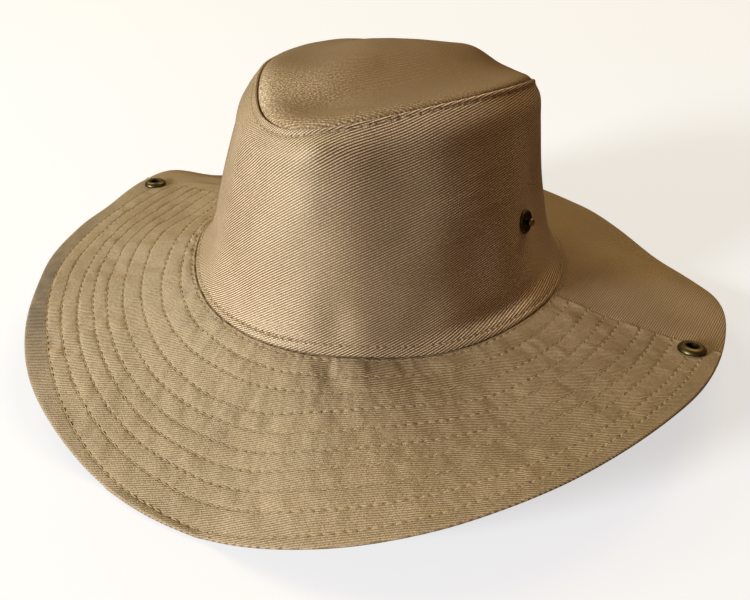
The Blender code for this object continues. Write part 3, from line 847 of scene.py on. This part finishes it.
def backTone(turns, runs):
    # Painted light makes the cloth paler towards the rim beside the left snap; painted shade lies in the crease
    # and under the rim.
    s = brimShades
    lightening = bell(angleTo(turns, s["backPaintedLightAt"]) / s["backPaintedLightWide"])[:, None]
    lightening = lightening * np.clip(runs / s["backPaintedLightOver"], 0.2, 1)
    return s["backPaintedLight"] * lightening + rimFold(turns, runs) + sideTone(turns, runs) - creaseTone(runs)


backTwill = {**clothLook, "ribAngle": 86.5, "mottle": 0.05, "fuzz": 0.10,
             "valley": (0.260, 0.165, 0.082), "ridge": (0.565, 0.395, 0.228)}
backTurns = panelTurns(seamTurn, tau - seamTurn, brimPiece["backColumns"])
backRow = np.full((len(backTurns), 1), brimPiece["firstRow"])
brimBack, backPaths = brimPanel(
    "brimBack", backTurns, backRuns(backTurns), backRow, backQuilt, backTone,
    twill("twillBack", backTwill), 0.0,
    {"Row Sink": 0.0003, "Row Width": 0.0007, "Puff": 0.0, "Pucker": 0.0007, "Pucker Size": 0.040,
     "Stitch Pull": 0.0001})

# The crown's side. Its rows of points stand closest at the seam, at the base row and at the top row.
crownPiece = {
    "columns": 400, "foldRadius": 0.0008, "foldBends": (20, 45, 70, 95, 120, 150, 175),
    "tuck": (0.0008, 0.0018), "baseRadius": 0.0004, "baseBends": (165, 130, 100, 70, 45, 22),
    "baseSteps": (0.0, 0.0002, 0.0005), "wallOver": 0.0018, "wallUnder": 0.0012,
    "rowSteps": (-0.0011, -0.0006, -0.0003, 0.0, 0.0003, 0.0006, 0.0011), "wallRows": 84, "lowRows": 15,
    "fineRows": 260, "lowFrom": 0.004, "lowShort": 0.002, "seamOutFade": 0.07, "backDropTurn": 0.35,
    "uneven": 0.0006, "unevenSize": 0.070, "unevenSeed": 23,
    "pushFrom": 0.05, "pushEnd": 0.06, "topPush": 0.2, "dimple": 0.0008, "dimpleWide": 0.010,
    "sink": 0.00035, "rowWidth": 0.00065, "stitchPull": 0.00010, "topRowIn": 0.0004,
    "baseSwell": 0.00040, "baseSwellAt": 0.5, "baseSwellWide": 0.42,
    "topSwell": 0.00028, "topSwellAt": 0.0010,
    # The two rows' distances from their edges, in mm, at every 22.5 degrees from the right side through the
    # front to the left of the back. Behind the right side each curve runs on past its first value.
    "baseRow": (2.0, 2.0, 1.8, 2.4, 3.6, 4.5, 4.2, 3.0, 2.2, 2.0, 2.0, 2.0),
    "topRow": (2.2, 2.2, 2.4, 2.3, 2.4, 1.7, 1.5, 1.6, 1.8, 2.0, 2.2, 2.2),
}

# Soft ridges and dents of the side: degrees round, height share, the spreads of both, and the push in mm.
crownShapes = (
    (17, 0.95, 9, 0.35, 1.4), (28, 0.45, 12, 0.45, 2.2), (3, 0.50, 10, 0.45, -1.0),
    (23, 0.16, 4.5, 0.09, -1.4), (31, 0.12, 5, 0.10, 0.8), (44, 0.60, 12, 0.50, -1.0),
    (80, 0.42, 8, 0.30, 1.0), (99, 0.42, 8, 0.30, -1.8), (75, 0.07, 26, 0.035, -2.6),
    (100, 0.99, 20, 0.04, -2.0), (66, 0.62, 9, 0.012, 0.22), (72, 0.55, 10, 0.013, 0.26),
    (60, 0.45, 8, 0.014, 0.22), (75, 0.70, 8, 0.012, 0.2), (52, 0.30, 9, 0.25, 0.5),
    (64, 0.35, 8, 0.22, -0.6), (58, 0.75, 9, 0.20, 0.4), (-22, 0.45, 12, 0.30, -0.5),
    (-38, 0.75, 10, 0.2, 0.4), (118, 0.5, 16, 0.3, -0.9), (150, 0.35, 14, 0.3, 0.7),
    (-90, 0.6, 16, 0.3, -0.8), (-130, 0.4, 15, 0.3, 0.8), (180, 0.7, 14, 0.25, -0.8),
    (-46, 0.20, 10, 0.25, -0.7), (-28, 0.50, 8, 0.60, 0.8), (-28, 0.95, 8, 0.25, 0.7),
    (-11, 0.45, 9, 0.70, -1.2), (-1, 0.80, 9, 0.30, -0.8), (16, 0.18, 8, 0.18, 0.9),
    (43, 0.42, 9, 0.20, 1.3), (40, 0.10, 6, 0.12, 0.9), (68, 0.10, 15, 0.12, -1.2),
    (79, 0.64, 7, 0.14, -0.8), (103, 0.50, 7, 0.25, -1.1))


def crownReach(turn, height):
    # How far out the side is at a height share, from 1 at the brim to 0 at the tip, on a smooth curve.
    turn, height = np.broadcast_arrays(np.asarray(turn, float), np.asarray(height, float))
    heights = crownSlope[:, 0]
    reaches = crownSlope[:, 1][:, None] + crownSlope[:, 2][:, None] * np.cos(turn.ravel())[None]
    slopes = np.gradient(reaches, heights, axis=0)
    k = np.clip(np.searchsorted(heights, height.ravel(), side="right") - 1, 0, len(heights) - 2)
    span = heights[k + 1] - heights[k]
    t = (height.ravel() - heights[k]) / span
    each = np.arange(t.size)
    rise = reaches[k, each] * (1 + 2 * t) * (1 - t) ** 2 + reaches[k + 1, each] * t * t * (3 - 2 * t)
    rise += span * (slopes[k, each] * t * (1 - t) ** 2 - slopes[k + 1, each] * t * t * (1 - t))
    return rise.reshape(height.shape)


def crownLaid(turn, height):
    turn, height = np.broadcast_arrays(np.asarray(turn, float), np.asarray(height, float))
    reach = crownReach(turn, height)[..., None]
    point = tipOval(turn) * (1 - reach) + brimSeam(turn) * reach
    moved = everyTen(settled["seamOut"], turn) * np.exp(-height / crownPiece["seamOutFade"])
    point += outwardAt(turn) * moved[..., None]
    point[..., 2] = seamHeight(turn) + (tipHeight(turn) - seamHeight(turn)) * height
    point[..., 2] += everyTen(settled["seamUp"], turn) * (1 - height) ** 2
    point[..., 2] += everyTen(settled["tipUp"], turn) * height ** 6
    back = 0.5 - 0.5 * np.cos(turn + crownPiece["backDropTurn"])
    point[..., 2] -= hat["backRimDrop"] * back ** 2 * height ** 6
    return point - rimMiddle


littleHeight = 0.004        # the step in height share that a normal is found with


def crownNormal(turn, height):
    around = crownLaid(turn + littleTurn, height) - crownLaid(turn - littleTurn, height)
    low, high = np.clip(height - littleHeight, 0, 1), np.clip(height + littleHeight, 0, 1)
    return unit(np.cross(around, crownLaid(turn, high) - crownLaid(turn, low)))


snapTurns = {"left": tau / 4, "right": -tau / 4}


def studShare(turn):
    return hat["studHeight"] / (tipHeight(turn) - seamHeight(turn))


def crownAt(turn, height):
    turn, height = np.broadcast_arrays(np.asarray(turn, float), np.asarray(height, float))
    point = crownLaid(turn, height)
    push = crownPiece["uneven"] * waves(point, crownPiece["unevenSize"], crownPiece["unevenSeed"])
    for degrees, at, wide, tall, rise in crownShapes:
        away = angleTo(turn, degrees) / wide
        push = push + rise / 1000 * np.exp(-away ** 2 - ((height - at) / tall) ** 2)
    for at in snapTurns.values():
        away = np.linalg.norm(point - crownLaid(at, studShare(at)), axis=-1)
        push = push - crownPiece["dimple"] * bell(away / crownPiece["dimpleWide"])
    push = push * np.clip(height / crownPiece["pushFrom"], 0, 1)
    push = push * np.clip((1 - height) / crownPiece["pushEnd"], crownPiece["topPush"], 1)
    return point + crownNormal(turn, height) * push[..., None]


crownTurns = -tau / 2 + tau * np.arange(crownPiece["columns"] + 1) / crownPiece["columns"]
fineShares = np.linspace(0, 1, crownPiece["fineRows"])
climb = arcLengths(np.moveaxis(crownLaid(crownTurns[:, None], fineShares[None]), 1, 0))
slant = climb[-1][:, None]      # the cloth's length up the side, for each column


def shareAt(distance):
    # The height share where the cloth's length up from the brim seam is distance, for each column.
    return np.stack([np.interp(distance[k], climb[:, k], fineShares) for k in range(len(crownTurns))])


def crownRow(name):
    return smoothAlong(crownPiece[name], (np.degrees(crownTurns) + 90) / 22.5, False)[:, None] / 1000


baseRow, topRow = crownRow("baseRow"), crownRow("topRow")
foldRadius, baseRadius = crownPiece["foldRadius"], crownPiece["baseRadius"]
rowClimbs = np.concatenate([baseRow, slant - topRow - crownPiece["topRowIn"]], 1)


def crownClimbs():
    # How far up the side each row of points lies, for each column.
    steps, topEdge = np.array(crownPiece["rowSteps"]), slant - foldRadius
    wall = topEdge - topRow - baseRow - crownPiece["wallOver"] - crownPiece["wallUnder"]
    found = np.sort(np.concatenate([
        baseRadius + np.array(crownPiece["baseSteps"]) + 0 * topEdge, rowClimbs[:, :1] + steps,
        baseRow + crownPiece["wallOver"] + wall * np.linspace(0, 1, crownPiece["wallRows"]),
        rowClimbs[:, 1:] + steps, topEdge], 1), 1)
    return np.clip(found, baseRadius, topEdge) + np.arange(found.shape[1]) * 1e-7


def hemSwell(distance):
    # The turned cloth below the base row and above the top row stands a little proud.
    p = crownPiece
    low = p["baseSwell"] * bell((distance - baseRow * p["baseSwellAt"]) / (baseRow * p["baseSwellWide"]))
    return low + p["topSwell"] * bell((slant - distance - p["topSwellAt"]) / p["topSwellAt"])


climbs = crownClimbs()
heights = shareAt(climbs)
crownOut = crownNormal(crownTurns[:, None], heights)
crownFace = crownAt(crownTurns[:, None], heights) + crownOut * hemSwell(climbs)[..., None]
fold = rolledEdge(crownFace[:, -1], crownOut[:, -1], unit(crownFace[:, -1] - crownFace[:, -4]), foldRadius,
                  crownPiece["foldBends"])
baseRoll = rolledEdge(crownFace[:, 0], crownOut[:, 0], unit(crownFace[:, 0] - crownFace[:, 3]), baseRadius,
                      crownPiece["baseBends"])
tucked = np.array(crownPiece["tuck"])
tuck = fold[:, -1:] - np.array((0, 0, 1.0)) * tucked[None, :, None]
upper = np.concatenate([baseRoll, crownFace, fold, tuck], 1)
lowClimbs = np.linspace(crownPiece["lowFrom"], 1, crownPiece["lowRows"]) * (slant - crownPiece["lowShort"])
lowHeights = shareAt(lowClimbs)
lower = crownAt(crownTurns[:, None], lowHeights)
lower = lower - crownNormal(crownTurns[:, None], lowHeights) * 2 * brimPiece["edge"]
foldClimbs = climbs[:, -1:] + foldRadius * np.radians(crownPiece["foldBends"])
rollClimbs = climbs[:, :1] - baseRadius * np.radians(crownPiece["baseBends"])
allClimbs = np.concatenate([rollClimbs, climbs, foldClimbs, foldClimbs[:, -1:] + tucked], 1)

# The side was cut flat as a bent strip, so its ribs run straight across that cut.
seamLengths = arcLengths(brimSeam(crownTurns))
frontLength = np.interp(0.0, crownTurns, seamLengths)
cutRadius = slant.mean() / (1 - arcLengths(tipOval(crownTurns))[-1] / seamLengths[-1])
cutAngle = ((seamLengths - frontLength) / cutRadius)[:, None]


def stripMap(distance):
    out = cutRadius - distance
    return np.stack([out * np.sin(cutAngle), cutRadius - out * np.cos(cutAngle)], -1)


# Where the crown's cloth is lighter or darker, and by how much: a worn top fold, painted shade and painted
# light.
crownShades = {
    "paintedCreaseShade": 0.2, "creaseWide": 0.0006, "fold": 0.06, "foldAt": 0.0002, "foldWide": 0.0009,
    "tucked": 0.25, "tuckedFrom": 0.0014, "tuckedOver": 0.0008,
    "paintedFlareLight": 0.35, "paintedFlareLightAt": (80, 0.005), "paintedFlareLightWide": (24, 0.006),
    "edge": 0.62, "paintedEdgeLightAt": 74, "paintedEdgeLightWide": (24, 0.007), "paintedFlankShade": ((113, 12, 0.20), (-62, 26, 0.24)),
}


def crownTone(distance):
    # The top fold is worn lighter. Painted shade lies under the tucked top, in the base crease and where the two
    # flanks turn away from the light; painted light lies on the flare and the upper edge of the left side.
    s, fromTop = crownShades, slant - distance
    tone = s["fold"] * bell((fromTop - s["foldAt"]) / s["foldWide"])
    tone -= s["tucked"] * np.clip((-fromTop - s["tuckedFrom"]) / s["tuckedOver"], 0, 1)
    tone -= s["paintedCreaseShade"] * np.exp(-np.maximum(distance, 0) / s["creaseWide"])
    paintedFlareLight = bell(angleTo(crownTurns, s["paintedFlareLightAt"][0]) / s["paintedFlareLightWide"][0])[:, None]
    tone += s["paintedFlareLight"] * paintedFlareLight * bell((distance - s["paintedFlareLightAt"][1]) / s["paintedFlareLightWide"][1])
    edge = bell(angleTo(crownTurns, s["paintedEdgeLightAt"]) / s["paintedEdgeLightWide"][0])[:, None]
    tone += s["edge"] * edge * np.exp(-np.maximum(fromTop, 0) / s["paintedEdgeLightWide"][1])
    paintedFlankShade = sum(share * bell(angleTo(crownTurns, degrees) / wide) for degrees, wide, share in s["paintedFlankShade"])
    return tone - paintedFlankShade[:, None]


crownTwill = {
    **clothLook, "ribAngle": 34.8, "ribShape": 0.75, "ribCrisp": 0.85, "mottle": 0.10, "patchScale": 45.0,
    "fuzz": 0.26, "fuzzScale": 900.0, "valley": (0.030, 0.012, 0.004), "ridge": (0.985, 0.735, 0.500),
    "ior": 1.8, "rough": (0.44, 0.60), "glossTint": (1.0, 0.86, 0.70),
}
rowHeights = shareAt(rowClimbs)
rowLines = [crownAt(crownTurns, column) for column in rowHeights.T]
away, phase = rowMarks(crownTurns, allClimbs, rowClimbs, rowLines)
crownSide = sewnSheet(
    "crownSide", upper[:-1], lower[:-1],
    {"cloth": (stripMap(allClimbs), stripMap(lowHeights * slant)),
     "stitch": (np.stack([phase, away], -1), noRows(lowHeights))},
    {"rowDistance": (away[:-1], noRow), "rowPhase": (phase[:-1], 0.0),
     "tone": (crownTone(allClimbs)[:-1], 0.0)}, closed=True)
growWith(crownSide, quilting, {
    "Row Sink": crownPiece["sink"], "Row Width": crownPiece["rowWidth"], "Puff": 0.0, "Pucker": 0.0,
    "Stitch Pull": crownPiece["stitchPull"], "Cloth": twill("twillCrown", crownTwill)})
crownPaths = []
for k, line in enumerate(rowLines):
    normal = crownNormal(crownTurns, rowHeights[:, k])
    rise = hemSwell(rowClimbs)[:, k] - crownPiece["sink"] * threadSunk
    crownPaths.append((line + normal * rise[:, None], normal))
print("hat: crown side", len(crownSide.data.polygons), "faces")

# The crown's tip.
tipPiece = {
    "columns": 300, "innerRings": (0.03, 0.90, 38), "lowRings": (0.03, 0.25, 0.5, 0.7, 0.85, 0.95, 1.0),
    "outerRings": (0.915, 0.93, 0.942, 0.953, 0.963, 0.972, 0.980, 0.987, 0.994, 1.0),
    "inset": 0.0012, "edgeDrop": 0.0003, "edgeReach": 0.0005,
    "uneven": 0.0002, "unevenSize": 0.045, "unevenSeed": 31, "unevenFrom": 0.01,
    # It stands up inside its seam, more at some corners: degrees, spread, height and reach.
    "pillow": 0.0014, "pillowReach": 0.0024, "pillowFade": 0.024,
    "pillows": ((-48, 45, 0.0034, 0.0060), (35, 50, 0.0024, 0.0075), (128, 30, 0.0010, 0.0024)),
    "pucker": 0.0003, "puckerSize": 0.016, "puckerFrom": 0.006,
    # Painted light on the front corner, a lighter edge, a worn seam ridge and painted shade in the crease.
    "paintedCornerLight": 0.38, "paintedCornerLightAt": (-38, 0.74), "paintedCornerLightWide": 0.021, "edgeLighter": 0.5, "edgeNap": 0.6,
    "edgeLighterWide": 0.007, "edgeLighterAhead": (0.35, 0.65, 0.3),
    "seamWorn": 0.10, "seamWornAt": 0.0014, "seamWornWide": 0.0009, "paintedCreaseShade": 0.25, "creaseWide": 0.0005,
}
tipTurns = tau * np.arange(tipPiece["columns"] + 1) / tipPiece["columns"]
tipMiddle = crownLaid(tipTurns[:-1], 1.0).mean(0)


def tipAt(turn, share):
    # The tip's upper face, share out from its middle, and how far in from its edge that is.
    turn, share = np.broadcast_arrays(np.asarray(turn, float), np.asarray(share, float))
    edge = crownLaid(turn, 1.0) - outwardAt(turn) * tipPiece["inset"]
    point = tipMiddle * (1 - share[..., None]) + edge * share[..., None]
    point[..., 2] = tipMiddle[2] + (edge[..., 2] - tipMiddle[2]) * share ** 2
    left, ahead = share * np.sin(turn), share * np.cos(turn)
    rise = 0.0
    for atLeft, atAhead, spread, height in tipShapes:
        away = (left - atLeft) ** 2 + (ahead - atAhead) ** 2
        rise = rise + height * hat["tipDome"] * np.exp(-away / spread ** 2)
    point[..., 2] += rise * (1 - left ** 2 - ahead ** 2)
    inward = (1 - share) * np.linalg.norm((edge - tipMiddle)[..., :2], axis=-1)
    swell = tipPiece["pillow"] * (1 - np.exp(-inward / tipPiece["pillowReach"]))
    for degrees, wide, height, reach in tipPiece["pillows"]:
        corner = bell(angleTo(turn, degrees) / wide) * share ** 2
        swell = swell + height * corner * (1 - np.exp(-inward / reach))
    point[..., 2] += swell * bell(inward / tipPiece["pillowFade"])
    point[..., 2] -= tipPiece["edgeDrop"] * np.exp(-inward / tipPiece["edgeReach"])
    uneven = tipPiece["uneven"] * np.clip(inward / tipPiece["unevenFrom"], 0, 1)
    point[..., 2] += uneven * waves(point, tipPiece["unevenSize"], tipPiece["unevenSeed"])
    return point, inward


def tipWearAndPaintedLight(points, inward):
    # Painted light lies on the front corner of the hat's right side, with pale nap flecks there and along the
    # edge, which is lighter most towards the front. The seam ridge is worn lighter and painted shade lies in the
    # crease.
    p = tipPiece
    middle = tipAt(radians(p["paintedCornerLightAt"][0]), p["paintedCornerLightAt"][1])[0]
    paintedCornerLight = bell(np.linalg.norm((points - middle)[..., :2], axis=-1) / p["paintedCornerLightWide"])
    least, more, turned = p["edgeLighterAhead"]
    ahead = np.clip(least + more * np.cos(tipTurns[:-1, None] - turned), 0, 1)
    lightening = np.exp(-inward / p["edgeLighterWide"]) * ahead
    tone = p["paintedCornerLight"] * (paintedCornerLight + p["edgeLighter"] * lightening)
    tone += p["seamWorn"] * bell((inward - p["seamWornAt"]) / p["seamWornWide"])
    tone -= p["paintedCreaseShade"] * np.exp(-inward / p["creaseWide"])
    return tone, np.clip(paintedCornerLight + p["edgeNap"] * lightening, 0, 1)


def wrapped(values):
    return np.concatenate([values, values[:1]])


rings = np.concatenate([np.linspace(*tipPiece["innerRings"]), tipPiece["outerRings"]])
tipUpper, inward = tipAt(tipTurns[:-1, None], rings)
tipLower, _ = tipAt(tipTurns[:-1, None], np.array(tipPiece["lowRings"]))
tipLower[..., 2] -= 2 * brimPiece["edge"]
tipPole = tipAt(0.0, 0.0)[0]
tipPoles = np.array((tipPole, tipPole - np.array((0, 0, 2 * brimPiece["edge"]))))
tipTone, tipNap = tipWearAndPaintedLight(tipUpper, inward)
# The tip's cloth is darker and browner than the same cloth on the side and brim: painted shade on its flat top.
tipShadedTwill = {
    **clothLook, "ribAngle": 20.0, "ribPitch": 0.00112, "ribDrift": 0.3, "ribDepth": 0.00022, "floats": 0.15,
    "mottle": 0.07, "patchScale": 40.0, "fuzz": 0.30, "fuzzScale": 1150.0, "valley": (0.083, 0.040, 0.011),
    "ridge": (0.274, 0.146, 0.044), "ior": 1.6, "rough": (0.58, 0.74), "glossTint": (1.0, 0.88, 0.74),
}
crownTip = sewnSheet(
    "crownTip", tipUpper, tipLower,
    {"cloth": (wrapped(tipUpper)[..., :2], wrapped(tipLower)[..., :2], tipPoles[:, :2]),
     "stitch": (noRows(wrapped(inward)), noRows(wrapped(tipLower)[..., 0]), noRows(tipPoles[:, 0]))},
    {"rowDistance": (0 * inward + noRow, noRow),
     "quilt": (np.clip(inward / tipPiece["puckerFrom"], 0, 1), 0.0),
     "tone": (tipTone, 0.0), "nap": (tipNap, 0.0)}, closed=True, poles=tipPoles)
growWith(crownTip, quilting, {
    "Row Sink": 0.0, "Puff": 0.0, "Pucker": tipPiece["pucker"], "Pucker Size": tipPiece["puckerSize"],
    "Stitch Pull": 0.0, "Cloth": twill("twillTipShaded", tipShadedTwill)})
print("hat: tip", len(crownTip.data.polygons), "faces")

# Stitches.
threadSizes = {"Stitch Spacing": stitchLong, "Stitch Length": 0.0030, "Thread Radius": 0.00022,
               "Arch": 0.00052, "Sunk Ends": 0.00025, "Thread": hatThread}
crownThread = {**threadSizes, "Stitch Spacing": 0.0030, "Stitch Length": 0.0021}


def sewRows(name, paths, sizes, seed):
    return growWith(stitchPaths(name, paths), stitching, {**sizes, "Seed": seed})


brimStitches = sewRows("brimStitches", frontPaths, threadSizes, 5)
crownStitches = sewRows("crownStitches", crownPaths, crownThread, 9)
backStitches = sewRows("backStitches", backPaths, threadSizes, 13)
rowsOfThread = (brimStitches, crownStitches, backStitches)
print("hat: stitches", sum(len(piece.data.polygons) for piece in rowsOfThread), "faces")

# Snaps.
snapPiece = {"steps": 56, "socketRadius": 0.0060, "socketMetal": 0.0026, "hole": 0.0024,
             "studRadius": 0.0055, "ball": 0.0018, "post": 0.0019, "capMetal": 0.0012, "lift": 0.0003,
             "sharpFrom": 42}


def turnedMetal(name, profile, place, axis):
    # Profile rows are radius, height and how far the tarnish gathers there.
    steps = snapPiece["steps"]
    angles = tau * np.arange(steps) / steps
    points, faces, recess, rounds = [], [], [], []
    for radiusAt, height, dark in profile:
        start = len(points)
        if radiusAt == 0.0:
            points.append((0.0, 0.0, height))
            rounds.append([start] * steps)
            recess.append(dark)
            continue
        points += [(radiusAt * cos(a), radiusAt * sin(a), height) for a in angles]
        rounds.append(list(range(start, start + steps)))
        recess += [dark] * steps
    for first, second in zip(rounds, rounds[1:]):
        for k in range(steps):
            face = [first[k], first[(k + 1) % steps], second[(k + 1) % steps], second[k]]
            face = list(dict.fromkeys(face))
            if len(face) > 2:
                faces.append(face)
    frameAt = Vector(axis).to_track_quat("Z", "Y").to_matrix().to_4x4()
    frameAt.translation = Vector(place)
    mesh = bpy.data.meshes.new(name)
    mesh.from_pydata([frameAt @ Vector(p) for p in points], [], faces)
    addMark(mesh, "recess", recess)
    finishMesh(mesh)
    mesh.set_sharp_from_angle(angle=radians(snapPiece["sharpFrom"]))
    mesh.materials.append(darkenedBrass)
    return addObject(name, mesh)


def capProfile(capRadius):
    # The post through the cloth and the domed cap behind it.
    s = snapPiece
    under = -hat["cloth"] - s["lift"]
    dome = ((1.0, 0.0, 0.4), (0.99, 0.2, 0.1), (0.94, 0.5, 0.0), (0.80, 0.8, 0.0), (0.5, 0.95, 0.0),
            (0.0, 1.0, 0.0))
    return [(s["post"], s["lift"], 0.5), (s["post"], under, 0.5),
            *((capRadius * out, under - deep * s["capMetal"], dark) for out, deep, dark in dome)]


def socketProfile():
    # An open ring: its bottom, its hole's wall, its rounded face from the hole outwards and its skirt.
    hole, out, high, low = (snapPiece[name] for name in ("hole", "socketRadius", "socketMetal", "lift"))
    face = ((0.08, 0.95, 0.3), (0.20, 0.99, 0.15), (0.34, 1.0, 0.1), (0.48, 0.98, 0.05), (0.62, 0.93, 0.0),
            (0.76, 0.82, 0.0), (0.88, 0.64, 0.0), (0.96, 0.46, 0.2))
    return [(0.0, low + 0.0003, 1.4), (hole * 0.98, low + 0.0003, 1.4), (hole, 0.6 * high, 1.3),
            (hole * 1.01, 0.86 * high, 1.1),
            *((hole + at * (out - hole), rise * high, dark) for at, rise, dark in face),
            (out, 0.34 * high, 0.4), (out * 0.985, low, 0.8), *capProfile(out)]


def studProfile():
    # A ball on its neck, standing in a dish with a raised rim.
    s = snapPiece
    dish, out, ball = s["lift"] + 0.0006, s["studRadius"], s["ball"]
    middle = dish + 0.0012 + 0.75 * ball
    angles = np.radians((75, 60, 45, 30, 15, 0, -15, -30, -44))
    bead = [(ball * cos(a), middle + ball * sin(a), -0.4) for a in angles]
    neck = ((0.70, 0.0005, 0.8), (0.85, 0.0002, 0.8), (1.25, 0.0, 0.8))
    rim = ((0.66, 0.0, 0.7), (0.72, 0.0001, 0.6), (0.80, 0.0005, 0.4), (0.86, 0.0007, 0.25),
           (0.92, 0.00062, 0.2), (0.97, 0.0003, 0.3))
    return [(0.0, middle + ball, -0.4), *bead, (0.70 * ball, middle - 0.80 * ball, 0.5),
            *((at * ball, dish + rise, dark) for at, rise, dark in neck),
            *((at * out, dish + rise, dark) for at, rise, dark in rim),
            (out, s["lift"] + 0.0002, 0.5), (out * 0.985, s["lift"], 0.7), *capProfile(0.72 * out)]


snaps = []
for side, turn in snapTurns.items():
    at = np.array(turn)
    run = (hat["brimWidth"] - hat["snapInset"]) * float(aroundHat("width", at))
    axis = upward(unit(np.cross(brimAt(at + 0.03, run) - brimAt(at - 0.03, run),
                                brimAt(at, run + 0.004) - brimAt(at, run - 0.004))))
    share = studShare(at)
    for kind, profile, place, way in (("Socket", socketProfile(), brimAt(at, run), axis),
                                      ("Stud", studProfile(), crownAt(at, share), crownNormal(at, share))):
        snaps.append(turnedMetal("snap" + kind + side.title(), profile, place, way))
        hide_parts("snap_" + kind.lower() + "_" + side)
print("hat: snaps", len(snaps))

# What stands for what.
for piece, node, slot in ((brimFront, "brim_front", "twill_brim"), (brimBack, "brim_back", "twill_back"),
                          (crownSide, "crown_side", "twill_crown"), (crownTip, "crown_tip", "twill_tip")):
    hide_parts(node)
for piece in (brimFront, brimBack, crownSide, crownTip, *rowsOfThread, *snaps):
    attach(piece, "root")

# Floor and light.
studio = {
    "floor": 6.0, "floorUnder": 0.0003, "floorColour": (0.45, 0.47, 0.56), "floorCloud": 0.985,
    "cloudScale": 9.0, "floorRough": 0.9, "floorGlow": 0.62,
    "ambient": (0.130, 0.071, 0.041), "backdrop": (0.95, 0.95, 0.95), "lampsAimAt": (0, 0, 0.05),
    # name, azimuth and elevation, distance, size, power and colour
    "lamps": (("keyLight", (-26.0, 16.0), 2.4, 0.60, 75.0, (1.0, 1.0, 0.90)),
              ("leftLight", (-110.0, 40.0), 2.4, 1.2, 11.0, (1.0, 1.0, 0.46)),
              ("backLight", (180.0, 50.0), 2.4, 1.2, 14.0, (1.0, 0.74, 0.32))),
}


def direction(azimuth, elevation):
    a, e = radians(azimuth), radians(elevation)
    return Vector((sin(a) * cos(e), -cos(a) * cos(e), sin(e)))


def floorMaterial():
    made, tree, shader = newMaterial("paleFloor")
    cloud = noise(tree, addNode(tree, "ShaderNodeTexCoord").outputs["Object"], studio["cloudScale"], 3.0)
    colour = studio["floorColour"]
    wire(tree, shader, {
        "Base Color": mixColours(tree, cloud, [c * studio["floorCloud"] for c in colour], colour),
        "Roughness": studio["floorRough"], "Emission Color": (1, 1, 1, 1),
        "Emission Strength": studio["floorGlow"]})
    return made


def makeFloor():
    mesh = bpy.data.meshes.new("floor")
    half, low = studio["floor"], -studio["floorUnder"]
    corners = [(-half, -half, low), (half, -half, low), (half, half, low), (-half, half, low)]
    mesh.from_pydata(corners, [], [(0, 1, 2, 3)])
    mesh.materials.append(floorMaterial())
    floor = addObject("floor", mesh)
    floor.visible_diffuse = floor.visible_glossy = False  # the hat is lit by the lamps and the room alone


def addLight(name, way, far, size, power, colour):
    lamp = bpy.data.lights.new(name, "AREA")
    lamp.shape = "DISK"
    lamp.size = size
    lamp.energy = power
    lamp.color = colour
    holder = addObject(name, lamp)
    holder.location = Vector(studio["lampsAimAt"]) + direction(*way) * far
    holder.rotation_mode = "QUATERNION"
    holder.rotation_quaternion = direction(*way).to_track_quat("Z", "Y")


def makeRoom():
    # A dim warm room that lights the hat, and a pale backdrop that only the camera sees.
    world = bpy.data.worlds.new("studioWorld")
    world.use_nodes = True
    tree = world.node_tree
    ray = addNode(tree, "ShaderNodeLightPath").outputs["Is Camera Ray"]
    sky = mixColours(tree, ray, studio["ambient"], studio["backdrop"])
    wire(tree, tree.nodes["Background"], {"Color": sky})
    bpy.context.scene.world = world
    bpy.context.scene.view_settings.view_transform = "Standard"


makeFloor()
for lamp in studio["lamps"]:
    addLight(*lamp)
makeRoom()

# The photograph's camera: degrees, metres, and pixels in a picture of 750 by 600.
camera = {"azimuth": 28.409, "elevation": 29.428, "distance": 0.380, "roll": 2.098, "focal": 740.0,
          "lookX": 378.819, "lookY": 243.306, "wide": 750, "high": 600, "sensor": 36.0, "clip": (0.01, 50.0)}


def placeCamera():
    # It was found from the hat's outline, its seams and its snaps.
    back = direction(camera["azimuth"], camera["elevation"])
    target = Vector((-rimMiddle[0], -rimMiddle[1], seamRise))
    right = Vector((cos(radians(camera["azimuth"])), sin(radians(camera["azimuth"])), 0.0))
    sideways = atan((camera["lookX"] - camera["wide"] / 2) / camera["focal"])
    upwards = atan((camera["lookY"] - camera["high"] / 2) / camera["focal"])
    yaw = Matrix.Rotation(sideways, 3, back.cross(right))
    yawBack, yawRight = yaw @ back, yaw @ right
    lookBack = Matrix.Rotation(upwards, 3, yawRight) @ yawBack
    lookUp = lookBack.cross(yawRight)
    roll = radians(camera["roll"])
    turned = Matrix((yawRight * cos(roll) + lookUp * sin(roll), lookUp * cos(roll) - yawRight * sin(roll),
                     lookBack))
    lens = bpy.data.cameras.new("photoCamera")
    lens.sensor_fit = "HORIZONTAL"
    lens.sensor_width = camera["sensor"]
    lens.lens = camera["focal"] / camera["wide"] * camera["sensor"]
    lens.clip_start, lens.clip_end = camera["clip"]
    stand = turned.transposed().to_4x4()
    stand.translation = target + back * camera["distance"]
    holder = addObject("photoCamera", lens)
    holder.matrix_world = stand
    bpy.context.scene.camera = holder


placeCamera()
print("hat: camera and light set")
